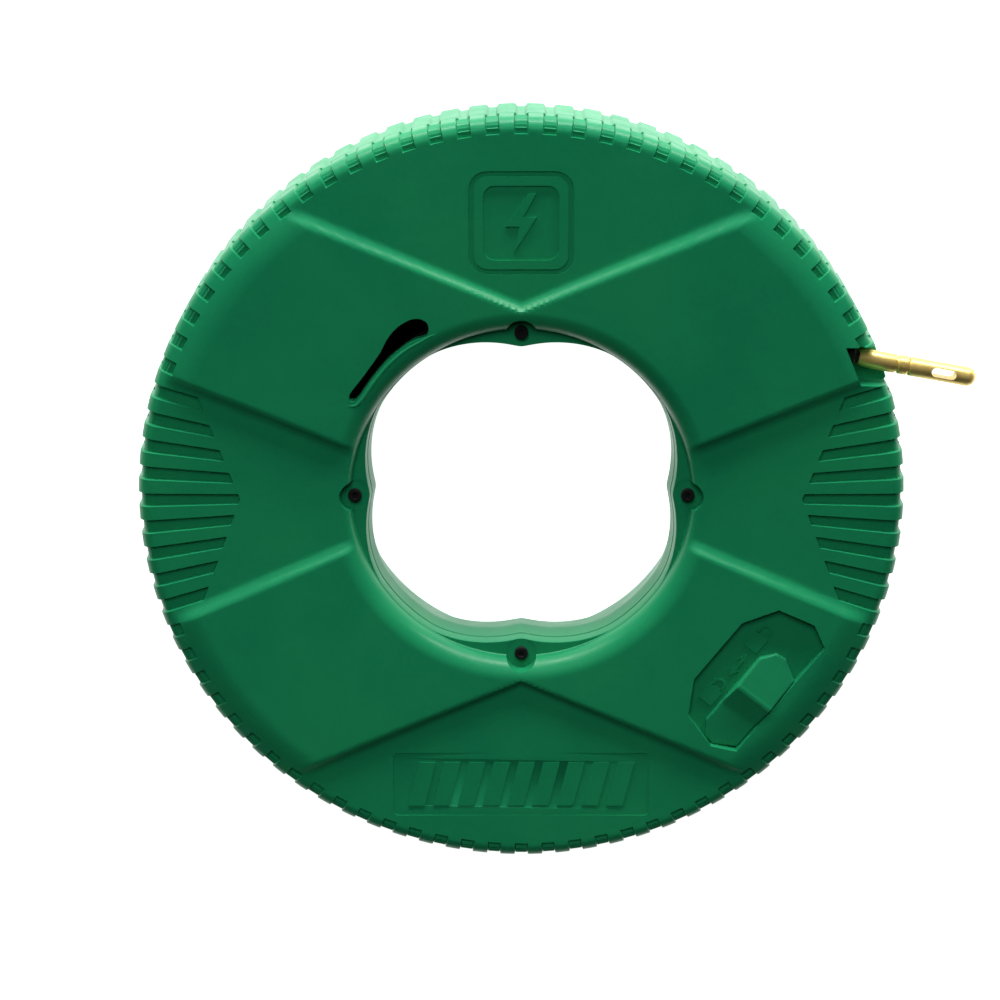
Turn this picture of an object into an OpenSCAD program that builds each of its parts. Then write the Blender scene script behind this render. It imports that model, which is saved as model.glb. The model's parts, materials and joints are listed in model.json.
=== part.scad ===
// Fish tape reel: a ring-shaped case in two shells that holds a turning canister of coiled tape.
// Millimetres. The ring lies on its back: the axis is Z, z = 0 is the plane it rests on,
// and the origin is the centre of the ring in that plane.

/* [Case] */
// Radius over the grip blocks of the rim
case_r = 190; // [185:1:200]
// Height of the case over its raised arms
case_h = 63; // [61:0.5:66]
// Height of the joint between the two shells
parting_z = 42.5; // [42:0.1:43]
// Radius of the hand hole at its narrowest
bore_r = 78.8; // [78:0.1:79.5]
// Thickness of the shell walls
wall = 3; // [2.6:0.1:3.2]
// Height of the raised arms above the four sunk panels
arm_rise = 3.5; // [2.5:0.1:3.6]
// Slope of the arm edges across the face, in degrees
arm_slope = 23; // [20:1:26]
// Distance of the upper and lower panel's point from the axis
panel_point = 96.5; // [94:0.5:100]

/* [Rim grip] */
// Number of grip blocks round the rim
block_count = 84; // [60:4:96]
// Depth of the gaps between the blocks
gap_depth = 2; // [1:0.1:2]
// Share of the pitch that a gap takes in the front shell
front_gap = 0.46; // [0.3:0.01:0.55]
// Share of the pitch that a gap takes in the rear shell
rear_gap = 0.34; // [0.3:0.01:0.55]
// Number of long grooves in each side panel, an odd number
groove_count = 9; // [5:2:11]

/* [Tape] */
// Diameter of the glass-fibre tape
tape_d = 4.8; // [4:0.1:4.8]
// Distance of the tape's exit line from the axis
tape_offset = 99.3; // [98:0.1:100]
// Direction of the tape's exit line, in degrees from +X
tape_angle = -10.5; // [-12:0.5:-9]
// Height of the tape's exit line
tape_z = 48.5; // [48.3:0.1:49]
// Radius of the eyelet tip
tip_r = 4.7; // [4.2:0.1:4.7]

/* [Lock] */
// Direction of the lock from the axis, in degrees from +X
lock_angle = -38.5; // [-42:0.5:-36]
// Travel of the lock knob
lock_travel = 22; // [20:1:22]
// Travel of the brake shoe
shoe_travel = 2.5; // [2:0.1:2.5]

/* [Hidden] */

green = [0.09, 0.42, 0.27];
black = [0.06, 0.06, 0.07];
brass = [0.80, 0.62, 0.18];
steel = [0.62, 0.63, 0.65];

far = 400;                       // reaches past everything
eps = 0.01;
pitch = 360 / block_count;       // angle from one grip block to the next

// Levels and radii of the shells
mid_z = case_h / 2;
face_slope = 4 / 88;             // the front face dishes towards the hand hole
flare_r = 95;                    // where the face starts to roll into the hand hole
roll_r = 13.5;                   // radius of that roll
shoulder_r = 172;                // where the arms start to fall to the rim
edge_r = 183.5;                  // where the face meets the rounded rim edge
edge_round = case_r - edge_r;
front_panel_edge = case_h - 3;   // height of the front panels at edge_r
rear_panel = 3;                  // height of the rear panels
cavity_r = case_r - gap_depth - wall;
sleeve_r = 84.5;                 // cavity side of the wall round the hand hole
floor_z = rear_panel + wall;

function panel_z(r) = front_panel_edge - (edge_r - r) * face_slope;
function arm_z(r) = panel_z(r) + arm_rise;
function bore_at(z) = bore_r + abs(z - mid_z) * 0.186;
function polar(r, a) = [r * cos(a), r * sin(a)];
// points of an arc in a profile, from angle a to angle b in n steps
function arc(c, r, a, b, n) = [for (i = [0:n]) c + polar(r, a + (b - a) * i / n)];
// a four-sided sector between two radii
function sector(r1, r2, a, half) = [polar(r1, a - half), polar(r2, a - half), polar(r2, a + half), polar(r1, a + half)];

// Case screws and the bosses that they pull on
screw_r = 82.9;                  // screw circle
screw_seat = mid_z + 17.5;
screw_recess = 7.6;
boss_r = 5.2;
cusp_depth = 6.8;                // how far each boss bulges into the hand hole
cusp_half = 15;                  // half its angle

// The canister that carries the tape
rib_in = 88.4;                   // ribs of the shells that carry the glide rings
rib_out = 90.4;
hub_in = 92.6;
hub_out = 95;
pan_bottom = floor_z + 1;
pan_top = 38.5;
pan_r = 172.5;                   // outside of the canister's outer wall
pan_wall = 2.5;
pan_floor = pan_bottom + 2;
ring_in = 145;
ring_out = 177.5;
ring_top = pan_top + 2;
ear_r = 174.2;                   // circle of the canister screws
ear_count = 8;
hub_top = 42;
glide_h = 8;
pad_at = 140;                    // circle of the glide pads under the canister
coil_in = 148.5;
clamp_angle = 186;
clamp_h = 6.6;                   // height of the clamp that holds the tape's inner end

// The tape's exit line: a point at distance t along it from its nearest point to the axis
tape_r = tape_d / 2;
exit_dir = polar(1, tape_angle);
exit_foot = polar(tape_offset, tape_angle + 90);
function exit_at(t) = exit_foot + exit_dir * t;
riser_sweep = 112;               // angle over which the tape comes up out of the coil
riser_r = coil_in - tape_r - 0.2;
riser_end_z = pan_top - 6;

guide_from = 131;                // places of the exit guide and the fittings along the exit line
guide_to = 148;
guide_r = 5.8;
ferrule_from = 150.5;
collar_from = 170.4;
tip_from = 175.6;
tip_to = 209.5;

// The mouth: a notch through the front shell's rim
mouth_angle = 22.7;
mouth_in = 176;
mouth_half = 10.6;
mouth_lean = 0.46;               // sideways shift of its sides for each mm outwards

// Levels of the lock
lock_floor = 57.5;
lock_under = lock_floor - 2.6;
lock_start = -lock_travel / 2;   // tangential place of the knob's middle when locked
carriage_top = lock_under - 0.3;
ramp = shoe_travel / lock_travel;
ramp_z = carriage_top - 2.7;     // height of the ramp under the carriage's middle
shoe_x = 157;                    // radial place of the brake shoe
cage_bottom = 41.8;
spring_seat = cage_bottom + 1;
spring_top = spring_seat + 3.7;
pad_gap = 0.3;                   // clearance under the brake pad when the lock is on
pad_top = ring_top + 2.6;
// height of the shoe's back, which lies 0.1 under the carriage's ramp
function shoe_back(y) = ramp_z - ramp * (y - lock_start) - 0.1;

module ring(r1, r2, z1, z2) {
    rotate_extrude($fn = 180) polygon([[r1, z1], [r2, z1], [r2, z2], [r1, z2]]);
}

// Runs its children along the tape's exit line, with the line as their Z axis and z = t
module on_exit_line() {
    translate([exit_foot[0], exit_foot[1], tape_z]) rotate([0, 0, tape_angle]) rotate([0, 90, 0]) children();
}

// The four sunk panels as wedges across the face, grown by g on each side
module panel_wedges(z1, z2, g = 0) {
    side_point = 27.9 - g / sin(arm_slope);
    end_point = panel_point - g / cos(arm_slope);
    run = 300;
    rise = run * tan(arm_slope);
    for (s = [-1, 1]) {
        translate([0, 0, z1]) linear_extrude(z2 - z1)
            polygon([[0, s * end_point], [run, s * (end_point + rise)], [-run, s * (end_point + rise)]]);
        translate([0, 0, z1]) linear_extrude(z2 - z1)
            polygon([[s * side_point, 0], [s * (side_point + run), rise], [s * (side_point + run), -rise]]);
    }
}

// Gaps between the grip blocks, from height z1 to z2, each a share of the pitch wide
module gap_sectors(share, z1, z2) {
    translate([0, 0, z1]) linear_extrude(z2 - z1)
        for (i = [0:block_count - 1]) polygon(sector(150, 220, i * pitch, pitch * share / 2));
}

// The bulge of one screw boss into the hand hole, between two heights
module boss_bulge(z1, z2) {
    inner = [for (a = [-cusp_half:1.5:cusp_half])
        polar(bore_at((z1 + z2) / 2) - cusp_depth * pow(1 - abs(a) / cusp_half, 1.7), a)];
    outer = [for (a = [cusp_half:-5:-cusp_half]) polar(sleeve_r - 0.5, a)];
    translate([0, 0, z1]) linear_extrude(z2 - z1) polygon(concat(inner, outer));
}

module at_case_screws() {
    for (a = [0:90:270]) rotate([0, 0, a]) children();
}

// The mouth's outline, grown by g
module mouth_outline(g = 0, reach = 30) {
    rotate(mouth_angle) polygon([
        [mouth_in - g, mouth_half + g * 1.2],
        [mouth_in - g, -mouth_half - g * 0.8],
        [mouth_in + reach, -mouth_half - g - reach * mouth_lean],
        [mouth_in + reach, mouth_half + g - reach * mouth_lean]]);
}

// ---- Front shell

module front_outside() {
    rotate_extrude($fn = 180) polygon(concat(
        [[bore_at(parting_z), parting_z], [flare_r - roll_r, arm_z(flare_r) - roll_r]],
        arc([flare_r, arm_z(flare_r) - roll_r], roll_r, 165, 90, 5),
        [[shoulder_r, arm_z(shoulder_r)]],
        arc([edge_r, front_panel_edge - edge_round], edge_round, 90, 0, 4),
        [[case_r, parting_z]]));
}

module front_cavity() {
    difference() {
        rotate_extrude($fn = 180) polygon([
            [sleeve_r, parting_z - 1], [sleeve_r, 47], [88, arm_z(95) - wall - 3.5], [flare_r, arm_z(95) - wall],
            [shoulder_r - 2, arm_z(shoulder_r) - wall], [edge_r - 3, panel_z(edge_r) - wall],
            [cavity_r, 52], [cavity_r, parting_z - 1]]);
        intersection() {
            panel_wedges(parting_z, far, wall);
            rotate_extrude($fn = 180) polygon([[60, panel_z(60) - wall], [210, panel_z(210) - wall], [210, 90], [60, 90]]);
        }
    }
}

module front_gaps() {
    intersection() {
        gap_sectors(front_gap, parting_z - 1, far);
        rotate_extrude($fn = 180) polygon(concat(
            [[case_r - gap_depth, parting_z - 1]],
            arc([edge_r, front_panel_edge - edge_round], edge_round - gap_depth, 0, 75, 3),
            [[edge_r + 1.2, 75], [215, 75], [215, parting_z - 1]]));
    }
}

// Long grooves of the side panels, with ends along a chevron
module side_grooves() {
    half = (groove_count - 1) / 2;
    intersection() {
        translate([0, 0, parting_z]) linear_extrude(far)
            for (side = [0, 180], k = [-half:half]) polygon(sector(120, 186, side + k * pitch, pitch * 0.2));
        translate([0, 0, parting_z]) linear_extrude(far)
            for (s = [-1, 1]) polygon([[s * 139.5, 0], [s * 240, 270], [s * 240, -270]]);
        rotate_extrude($fn = 180) polygon([[110, panel_z(110) - 1.8], [187, panel_z(187) - 1.8], [187, 75], [110, 75]]);
    }
}

// The window for the tape: wide at one end, narrow at the other, along the hand hole
module tape_port() {
    inner = [for (a = [120:4:148]) polar(94.8, a)];
    outer = [polar(99.8, 148.6), polar(101.2, 140), polar(103.6, 133.5), polar(105.7, 128.5),
        polar(106.4, 124), polar(105.4, 120.4), polar(102.6, 118.2), polar(98.6, 117.7)];
    translate([0, 0, parting_z]) linear_extrude(far) polygon(concat(inner, outer));
}

// The lock's outlines are in a frame turned to the lock: x outwards, y along the rim
module in_lock_frame() {
    rotate([0, 0, lock_angle]) children();
}

module lock_recess_outline(g = 0) {
    polygon([[166.6 + g, -34.8 - g], [166.6 + g, 34.8 + g], [154.8 + g, 40.8 + g], [136 - g, 35.8 + g],
        [126 - g, 18.9 + g], [126 - g, -18.9 - g], [136 - g, -35.8 - g], [154.8 + g, -40.8 - g]]);
}

module front_shell() {
    color(green) difference() {
        union() {
            difference() {
                front_outside();
                front_cavity();
                front_gaps();
                intersection() {
                    panel_wedges(parting_z, far);
                    rotate_extrude($fn = 180)
                        polygon([[60, panel_z(60)], [210, panel_z(210)], [210, 90], [60, 90]]);
                }
                side_grooves();
            }
            // wall round the mouth
            intersection() {
                front_outside();
                translate([0, 0, parting_z]) linear_extrude(20) mouth_outline(2.6);
            }
            // boss that holds the exit guide; it stops short of the ledge under the mouth
            intersection() {
                on_exit_line() translate([0, 0, guide_from + 2]) cylinder(r = 8.3, h = guide_to - guide_from, $fn = 64);
                translate([0, 0, 41.6]) linear_extrude(20) mouth_outline(12);
                union() {
                    translate([0, 0, parting_z]) cylinder(r = case_r, h = 20, $fn = 180);
                    translate([0, 0, 41]) cylinder(r = mouth_in - 2, h = 2, $fn = 180);
                }
            }
            // floor of the lock recess and the posts that carry the brake cage
            in_lock_frame() {
                translate([0, 0, lock_under]) linear_extrude(3.2) lock_recess_outline(2.2);
                for (y = [-5.5, 5.5]) translate([136.5, y, 47]) cylinder(r = 3.3, h = 9, $fn = 48);
            }
            // rib that the front glide ring runs on
            ring(rib_in, rib_out, hub_top - glide_h, 53);
            at_case_screws() {
                boss_bulge(parting_z, screw_seat);
                translate([screw_r, 0, parting_z]) cylinder(r = boss_r, h = 8, $fn = 48);
            }
        }
        translate([0, 0, parting_z - 5]) linear_extrude(60) mouth_outline();
        on_exit_line() translate([0, 0, guide_from]) cylinder(r = guide_r, h = 24, $fn = 64);
        in_lock_frame() {
            translate([0, 0, lock_floor]) linear_extrude(20) lock_recess_outline();
            translate([152.9, -17.4, lock_under - 1]) cube([7.2, 34.8, 6]);
            for (y = [-5.5, 5.5]) translate([136.5, y, 46]) cylinder(r = 1.25, h = 9.5, $fn = 48);
        }
        tape_port();
        at_case_screws() {
            translate([screw_r, 0, screw_seat]) cylinder(r = screw_recess, h = 30, $fn = 64);
            translate([screw_r, 0, parting_z - 1]) cylinder(r = 2.2, h = 20, $fn = 48);
        }
        // groove that takes the rear shell's tongue
        ring(cavity_r - 1, cavity_r + 1.5, parting_z - 1, parting_z + 2.2);
    }
}

// ---- Rear shell

module rear_outside() {
    rotate_extrude($fn = 180) polygon(concat(
        [[bore_at(parting_z), parting_z], [bore_r, mid_z]],
        arc([flare_r, roll_r], roll_r, 180, 270, 6),
        [[shoulder_r, 0]],
        arc([edge_r, rear_panel + edge_round], edge_round, 270, 360, 4),
        [[case_r, parting_z]]));
}

module rear_cavity() {
    difference() {
        rotate_extrude($fn = 180) polygon([
            [sleeve_r, parting_z + 1], [sleeve_r, 12], [88, 6.5], [flare_r, wall], [shoulder_r - 2, wall],
            [edge_r - 3, floor_z], [cavity_r, floor_z + 4.5], [cavity_r, parting_z + 1]]);
        panel_wedges(-1, floor_z, wall);
        // pads under the arms carry the glide pads
        for (a = [0:60:300]) rotate([0, 0, a + 30]) translate([pad_at, 0, 0]) cylinder(r = 6.5, h = floor_z, $fn = 48);
    }
}

module rear_gaps() {
    intersection() {
        gap_sectors(rear_gap, -1, parting_z + 1);
        rotate_extrude($fn = 180) polygon(concat(
            [[case_r - gap_depth, parting_z + 1]],
            arc([edge_r, rear_panel + edge_round], edge_round - gap_depth, 360, 285, 3),
            [[edge_r + 1.2, -5], [215, -5], [215, parting_z + 1]]));
    }
}

module rear_shell() {
    color(green) difference() {
        union() {
            difference() {
                rear_outside();
                rear_cavity();
                rear_gaps();
                panel_wedges(-1, rear_panel);
            }
            ring(rib_in, rib_out, rear_panel + 1, pan_bottom + glide_h);
            // tongue that locates the front shell
            ring(cavity_r - eps, cavity_r + 1.4, parting_z - 4, parting_z + 2);
            // ledge under the mouth
            intersection() {
                cylinder(r = case_r - gap_depth, h = parting_z, $fn = 180);
                translate([0, 0, parting_z - 1.6]) linear_extrude(1.6) mouth_outline(1.2);
            }
            at_case_screws() {
                boss_bulge(13, parting_z);
                translate([screw_r, 0, 4]) cylinder(r = boss_r, h = parting_z - 4, $fn = 48);
            }
        }
        at_case_screws() translate([screw_r, 0, 16]) cylinder(r = 2.02, h = 40, $fn = 48);
        // the tongue stops at the mouth
        translate([0, 0, parting_z]) linear_extrude(10) mouth_outline();
    }
}

module case_screws() {
    color(black) at_case_screws() translate([screw_r, 0, 0]) difference() {
        union() {
            translate([0, 0, screw_seat]) cylinder(r = 3.6, h = 2.6, $fn = 48);
            translate([0, 0, 18]) cylinder(r = 2, h = screw_seat - 18 + eps, $fn = 48);
        }
        translate([0, 0, screw_seat + 1]) cylinder(r = 1.6, h = 5, $fn = 6);
    }
}

// ---- Canister

module at_ears() {
    for (i = [0:ear_count - 1]) rotate([0, 0, (i + 0.5) * 360 / ear_count]) translate([ear_r, 0, 0]) children();
}

// Runs its children with Z pointing outwards through the canister's wall, z = 0 on its outside
module at_clamp() {
    rotate([0, 0, clamp_angle]) translate([pan_r, 0, pan_floor + clamp_h / 2]) rotate([0, 90, 0]) children();
}

module canister() {
    color(black) difference() {
        union() {
            difference() {
                rotate_extrude($fn = 180) polygon([
                    [hub_in, pan_bottom], [pan_r, pan_bottom], [pan_r, pan_top], [pan_r - pan_wall, pan_top],
                    [pan_r - pan_wall, pan_floor], [hub_out, pan_floor], [hub_out, hub_top], [hub_in, hub_top]]);
                // windows that lighten the floor
                for (i = [0:11]) rotate([0, 0, i * 30 + 15]) translate([0, 0, pan_bottom - 1])
                    linear_extrude(4) polygon(concat(arc([0, 0], 130, -9, 9, 3), arc([0, 0], 104, 9, -9, 3)));
            }
            at_ears() translate([0, 0, pan_top - 14]) cylinder(r = 3.2, h = 13.8, $fn = 48);
        }
        at_ears() translate([0, 0, pan_top - 12]) cylinder(r = 1.25, h = 13, $fn = 48);
        at_clamp() translate([0, 0, -9]) cylinder(r = 1.55, h = 12, $fn = 48);
    }
}

module canister_ring() {
    color(black) difference() {
        rotate_extrude($fn = 180) polygon([
            [ring_in, pan_top - 2.5], [ring_in + 2, pan_top - 2.5], [ring_in + 2, pan_top], [ring_out, pan_top],
            [ring_out, ring_top], [ring_in, ring_top]]);
        at_ears() {
            translate([0, 0, pan_top - 1]) cylinder(r = 1.6, h = 5, $fn = 48);
            translate([0, 0, ring_top - 1.3]) cylinder(r1 = 1.6, r2 = 2.9, h = 1.301, $fn = 48);
        }
    }
}

module canister_screws() {
    color(steel) at_ears() difference() {
        union() {
            translate([0, 0, ring_top - 1.25]) cylinder(r1 = 1.5, r2 = 2.7, h = 1.2, $fn = 48);
            translate([0, 0, pan_top - 9]) cylinder(r = 1.2, h = 10, $fn = 48);
        }
        translate([0, 0, ring_top - 0.8]) cylinder(r = 0.9, h = 2, $fn = 6);
    }
}

module glide_ring_rear() {
    color("white") ring(rib_out + 0.08, hub_in, pan_bottom, pan_bottom + glide_h);
}

module glide_ring_front() {
    color("white") ring(rib_out + 0.08, hub_in, hub_top - glide_h, hub_top);
}

module glide_pads() {
    color("white") for (a = [0:60:300]) rotate([0, 0, a + 30]) translate([pad_at, 0, floor_z])
        cylinder(r = 4.5, h = pan_bottom - floor_z - 0.1, $fn = 48);
}

// ---- Tape

module tape_coil() {
    coil_out = pan_r - pan_wall - 0.1;
    color(black) rotate_extrude($fn = 180) polygon([
        [coil_in, pan_floor + 0.05], [coil_out - 7, pan_floor + 0.05], [coil_out - 7, pan_floor + 7.2],
        [coil_out, pan_floor + 7.2], [coil_out, pan_top - 0.3], [coil_in, pan_top - 0.3]]);
}

// Smooth step from 0 to 1
function ease(x) = let (c = min(1, max(0, x))) c * c * (3 - 2 * c);
// Centre line of the tape from the exit line down to the inside of the coil
function riser_point(a) = let (
        r = tape_offset + (riser_r - tape_offset) * ease(a / riser_sweep),
        z = tape_z + (riser_end_z - tape_z) * ease(a / (riser_sweep * 0.66)))
    concat(polar(r, tape_angle + 90 + a), [z]);

// A closed tube of n sides swept along a list of points
module sweep(points, r, n) {
    last = len(points) - 1;
    rings = [for (i = [0:last])
        let (d = points[min(last, i + 1)] - points[max(0, i - 1)],
            t = d / norm(d),
            u = cross([0, 0, 1], t) / norm(cross([0, 0, 1], t)),
            v = cross(t, u))
        for (k = [0:n - 1]) points[i] + u * r * cos(360 * k / n) + v * r * sin(360 * k / n)];
    sides = [for (i = [0:last - 1], k = [0:n - 1])
        [(i + 1) * n + k, (i + 1) * n + (k + 1) % n, i * n + (k + 1) % n, i * n + k]];
    ends = [[for (k = [0:n - 1]) k], [for (k = [n - 1:-1:0]) last * n + k]];
    polyhedron(points = rings, faces = concat(sides, ends), convexity = 10);
}

module tape_riser() {
    color(black) sweep([for (a = [1.6:4:riser_sweep + 20]) riser_point(a)], tape_r, 10);
}

// Jaw and plate that pinch the tape's end against the canister's wall
module tape_clamp() {
    color(steel) difference() {
        rotate([0, 0, clamp_angle]) translate([pan_r - pan_wall - 6.4, -8, pan_floor + 0.1])
            cube([6.1, 16, clamp_h - 0.1]);
        at_clamp() translate([0, 0, -10]) cylinder(r = 1.27, h = 12, $fn = 48);
    }
}

module clamp_screw() {
    color(steel) at_clamp() difference() {
        union() {
            cylinder(r = 2.6, h = 1.9, $fn = 48);
            translate([0, 0, -7.8]) cylinder(r = 1.25, h = 7.9, $fn = 48);
        }
        translate([0, 0, 0.9]) cylinder(r = 1, h = 3, $fn = 6);
    }
}

// Bush that guides the tape through the mouth's wall
module exit_guide() {
    color(black) on_exit_line() rotate_extrude($fn = 96) polygon([
        [tape_r + 0.35, guide_from + 2.5], [tape_r + 1.6, guide_from], [7, guide_from], [7, guide_from + 2],
        [guide_r, guide_from + 2], [guide_r, guide_to], [tape_r + 1.6, guide_to], [tape_r + 0.35, guide_to - 2.5]]);
}

module tape_lead() {
    color(black) on_exit_line() cylinder(r = tape_r, h = collar_from - 3, $fn = 64);
}

// Socket that joins the tape to the eyelet tip
module leader_ferrule() {
    color(brass) on_exit_line() rotate_extrude($fn = 96) polygon([
        [tape_r + 0.05, ferrule_from], [tip_r - 1.1, ferrule_from], [tip_r - 0.35, ferrule_from + 2.5],
        [tip_r, ferrule_from + 8], [tip_r, collar_from - 1.4], [tip_r - 0.7, collar_from - 1.1],
        [tip_r - 0.7, collar_from], [tip_r, collar_from + 0.3], [tip_r, tip_from - 0.8], [tip_r - 0.6, tip_from],
        [2.05, tip_from], [2.05, collar_from - 2.4], [tape_r + 0.05, collar_from - 2.4]]);
}

// Round-nosed eyelet on a threaded stud
module eyelet_tip() {
    color(brass) difference() {
        on_exit_line() rotate_extrude($fn = 96) polygon(concat(
            [[0, collar_from - 1.5], [2, collar_from - 1.5], [2, tip_from], [tip_r - 0.6, tip_from],
                [tip_r, tip_from + 0.6]],
            arc([0, tip_to - tip_r], tip_r, 0, 90, 8)));
        // the eye, with round ends
        for (t = [189.1, 197.0]) translate([exit_at(t)[0], exit_at(t)[1], tape_z - 10])
            cylinder(r = 2.25, h = 20, $fn = 48);
        on_exit_line() translate([-10, -2.25, 189.1]) cube([20, 4.5, 7.9]);
    }
}

// ---- Lock

// Outline of the knob about its own middle: long, with cut corners
module knob_outline() {
    ends = [[166.2, 22.6], [155.7, 29], [150.4, 28.2], [144.8, 21]];
    polygon(concat(ends, [for (i = [3:-1:0]) [ends[i][0], -ends[i][1]]]));
}

module lock_knob() {
    color(green) in_lock_frame() translate([0, lock_start, 0]) difference() {
        union() {
            intersection() {
                translate([0, 0, lock_floor + 0.1]) linear_extrude(20) knob_outline();
                translate([130, 0, 0]) rotate([90, 0, 90]) linear_extrude(50) polygon([
                    [-30, lock_floor], [30, lock_floor], [30, 59.4], [4.6, 64.2], [2.6, 64.2], [-7.5, 59.9],
                    [-30, 59.4]]);
            }
            translate([153.3, -6, carriage_top]) cube([6.4, 12, 4]);
        }
        translate([156.5, 0, carriage_top - 1]) cylinder(r = 1.27, h = 6.5, $fn = 48);
    }
}

// Slide under the case wall that carries the knob and presses the brake shoe down
module lock_carriage() {
    color(black) in_lock_frame() translate([0, lock_start, 0]) difference() {
        translate([150.8, 0, 0]) rotate([90, 0, 90]) linear_extrude(11.4) polygon([
            [-19, carriage_top], [-19, ramp_z + 19 * ramp], [19, ramp_z - 19 * ramp], [19, carriage_top]]);
        translate([156.5, 0, ramp_z - 3]) cylinder(r = 1.5, h = 12, $fn = 48);
        translate([156.5, 0, ramp_z - 3]) cylinder(r = 2.8, h = 4.8, $fn = 48);
    }
}

module lock_screw() {
    color(steel) in_lock_frame() translate([156.5, lock_start, ramp_z + 0.3]) difference() {
        union() {
            cylinder(r = 2.6, h = 1.5, $fn = 48);
            cylinder(r = 1.25, h = 7.2, $fn = 48);
        }
        translate([0, 0, -1]) cylinder(r = 1, h = 1.7, $fn = 6);
    }
}

// Tray that guides the brake shoe; it hangs from two posts of the front shell
module brake_cage() {
    color(black) in_lock_frame() difference() {
        translate([131, -22, cage_bottom]) cube([36, 44, 5.2]);
        // room inside the tray, leaving a thick flange under the posts
        translate([142, -20.5, cage_bottom + 1]) cube([23.5, 41, 10]);
        // windows for the shoe's foot
        translate([shoe_x - 7.3, -9.3, cage_bottom - 1]) cube([14.6, 18.6, 5]);
        for (y = [-5.5, 5.5]) translate([136.5, y, cage_bottom - 1]) {
            cylinder(r = 1.6, h = 10, $fn = 48);
            cylinder(r = 3.1, h = 3, $fn = 48);
        }
    }
}

module cage_screws() {
    color(steel) in_lock_frame() for (y = [-5.5, 5.5]) translate([136.5, y, cage_bottom + 0.2]) difference() {
        union() {
            cylinder(r = 2.8, h = 1.8, $fn = 48);
            cylinder(r = 1.2, h = 11.5, $fn = 48);
        }
        translate([0, 0, -1]) cylinder(r = 1, h = 2, $fn = 6);
    }
}

// Shoe with a sloping back that follows the carriage, and two wings over the springs
module brake_shoe() {
    color(black) in_lock_frame() union() {
        translate([shoe_x - 7, 0, 0]) rotate([90, 0, 90]) linear_extrude(14) polygon([
            [-9, pad_top], [9, pad_top], [9, shoe_back(9)], [-9, shoe_back(-9)]]);
        for (s = [-1, 1]) translate([shoe_x - 5, s * 14 - 6, spring_top]) cube([10, 12, 1.4]);
    }
}

// Rubber pad that rubs on the canister's ring
module brake_pad() {
    color([0.12, 0.12, 0.12]) in_lock_frame()
        translate([shoe_x - 6.5, -8.5, ring_top + pad_gap]) cube([13, 17, pad_top - ring_top - pad_gap]);
}

// Springs that lift the shoe off the canister, drawn at their pressed height as closed rings
module brake_springs() {
    color(steel) in_lock_frame() for (s = [-1, 1], i = [0:3])
        translate([shoe_x, s * 15, spring_seat + 0.45 + i * 0.92]) rotate_extrude($fn = 48)
            translate([2.6, 0]) circle(r = 0.42, $fn = 16);
}

front_shell();
rear_shell();
case_screws();
canister();
canister_ring();
canister_screws();
glide_ring_rear();
glide_ring_front();
glide_pads();
tape_coil();
tape_riser();
tape_clamp();
clamp_screw();
exit_guide();
tape_lead();
leader_ferrule();
eyelet_tip();
lock_knob();
lock_carriage();
lock_screw();
brake_cage();
cage_screws();
brake_shoe();
brake_pad();
brake_springs();
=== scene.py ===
"""Fish tape reel: visible surfaces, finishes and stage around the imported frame.

The reel lies on its back: Z is its axis, the front face looks up and the tape leaves towards +X.
Outlines and profiles are worked out in millimetres and become metres when a mesh is made.
"""

import json
import math

import bpy
import numpy as np
from bpy.props import FloatProperty, FloatVectorProperty, IntProperty, PointerProperty
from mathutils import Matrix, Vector
from mathutils.geometry import tessellate_polygon


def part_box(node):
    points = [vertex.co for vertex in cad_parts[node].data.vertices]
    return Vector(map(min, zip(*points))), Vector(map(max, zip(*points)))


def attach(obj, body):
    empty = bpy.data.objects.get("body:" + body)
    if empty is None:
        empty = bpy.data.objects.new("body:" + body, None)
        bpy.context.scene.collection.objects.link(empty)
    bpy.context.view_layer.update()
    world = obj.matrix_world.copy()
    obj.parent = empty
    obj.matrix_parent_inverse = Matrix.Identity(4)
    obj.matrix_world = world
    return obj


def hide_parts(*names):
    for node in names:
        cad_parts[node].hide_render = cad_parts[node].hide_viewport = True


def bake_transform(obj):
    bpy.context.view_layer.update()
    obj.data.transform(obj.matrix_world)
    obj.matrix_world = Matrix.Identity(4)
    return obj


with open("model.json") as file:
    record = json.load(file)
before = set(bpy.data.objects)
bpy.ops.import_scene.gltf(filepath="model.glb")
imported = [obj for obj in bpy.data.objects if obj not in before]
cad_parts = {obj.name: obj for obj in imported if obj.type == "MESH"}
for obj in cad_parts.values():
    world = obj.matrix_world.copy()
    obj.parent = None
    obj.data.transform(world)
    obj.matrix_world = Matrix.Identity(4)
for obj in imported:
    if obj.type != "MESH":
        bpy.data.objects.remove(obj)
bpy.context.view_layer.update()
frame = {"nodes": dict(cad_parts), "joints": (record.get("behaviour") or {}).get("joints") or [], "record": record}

bl_info = {
    "name": "Fish Tape Reel",
    "version": (1, 0, 0),
    "blender": (4, 5, 0),
    "location": "3D View > Sidebar > Reel",
    "description": "Builds the shells, tape, lock, fasteners and stage of a fish tape reel",
    "category": "Mesh",
}

MM = 0.001

# ---- Values taken from the frame

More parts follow.
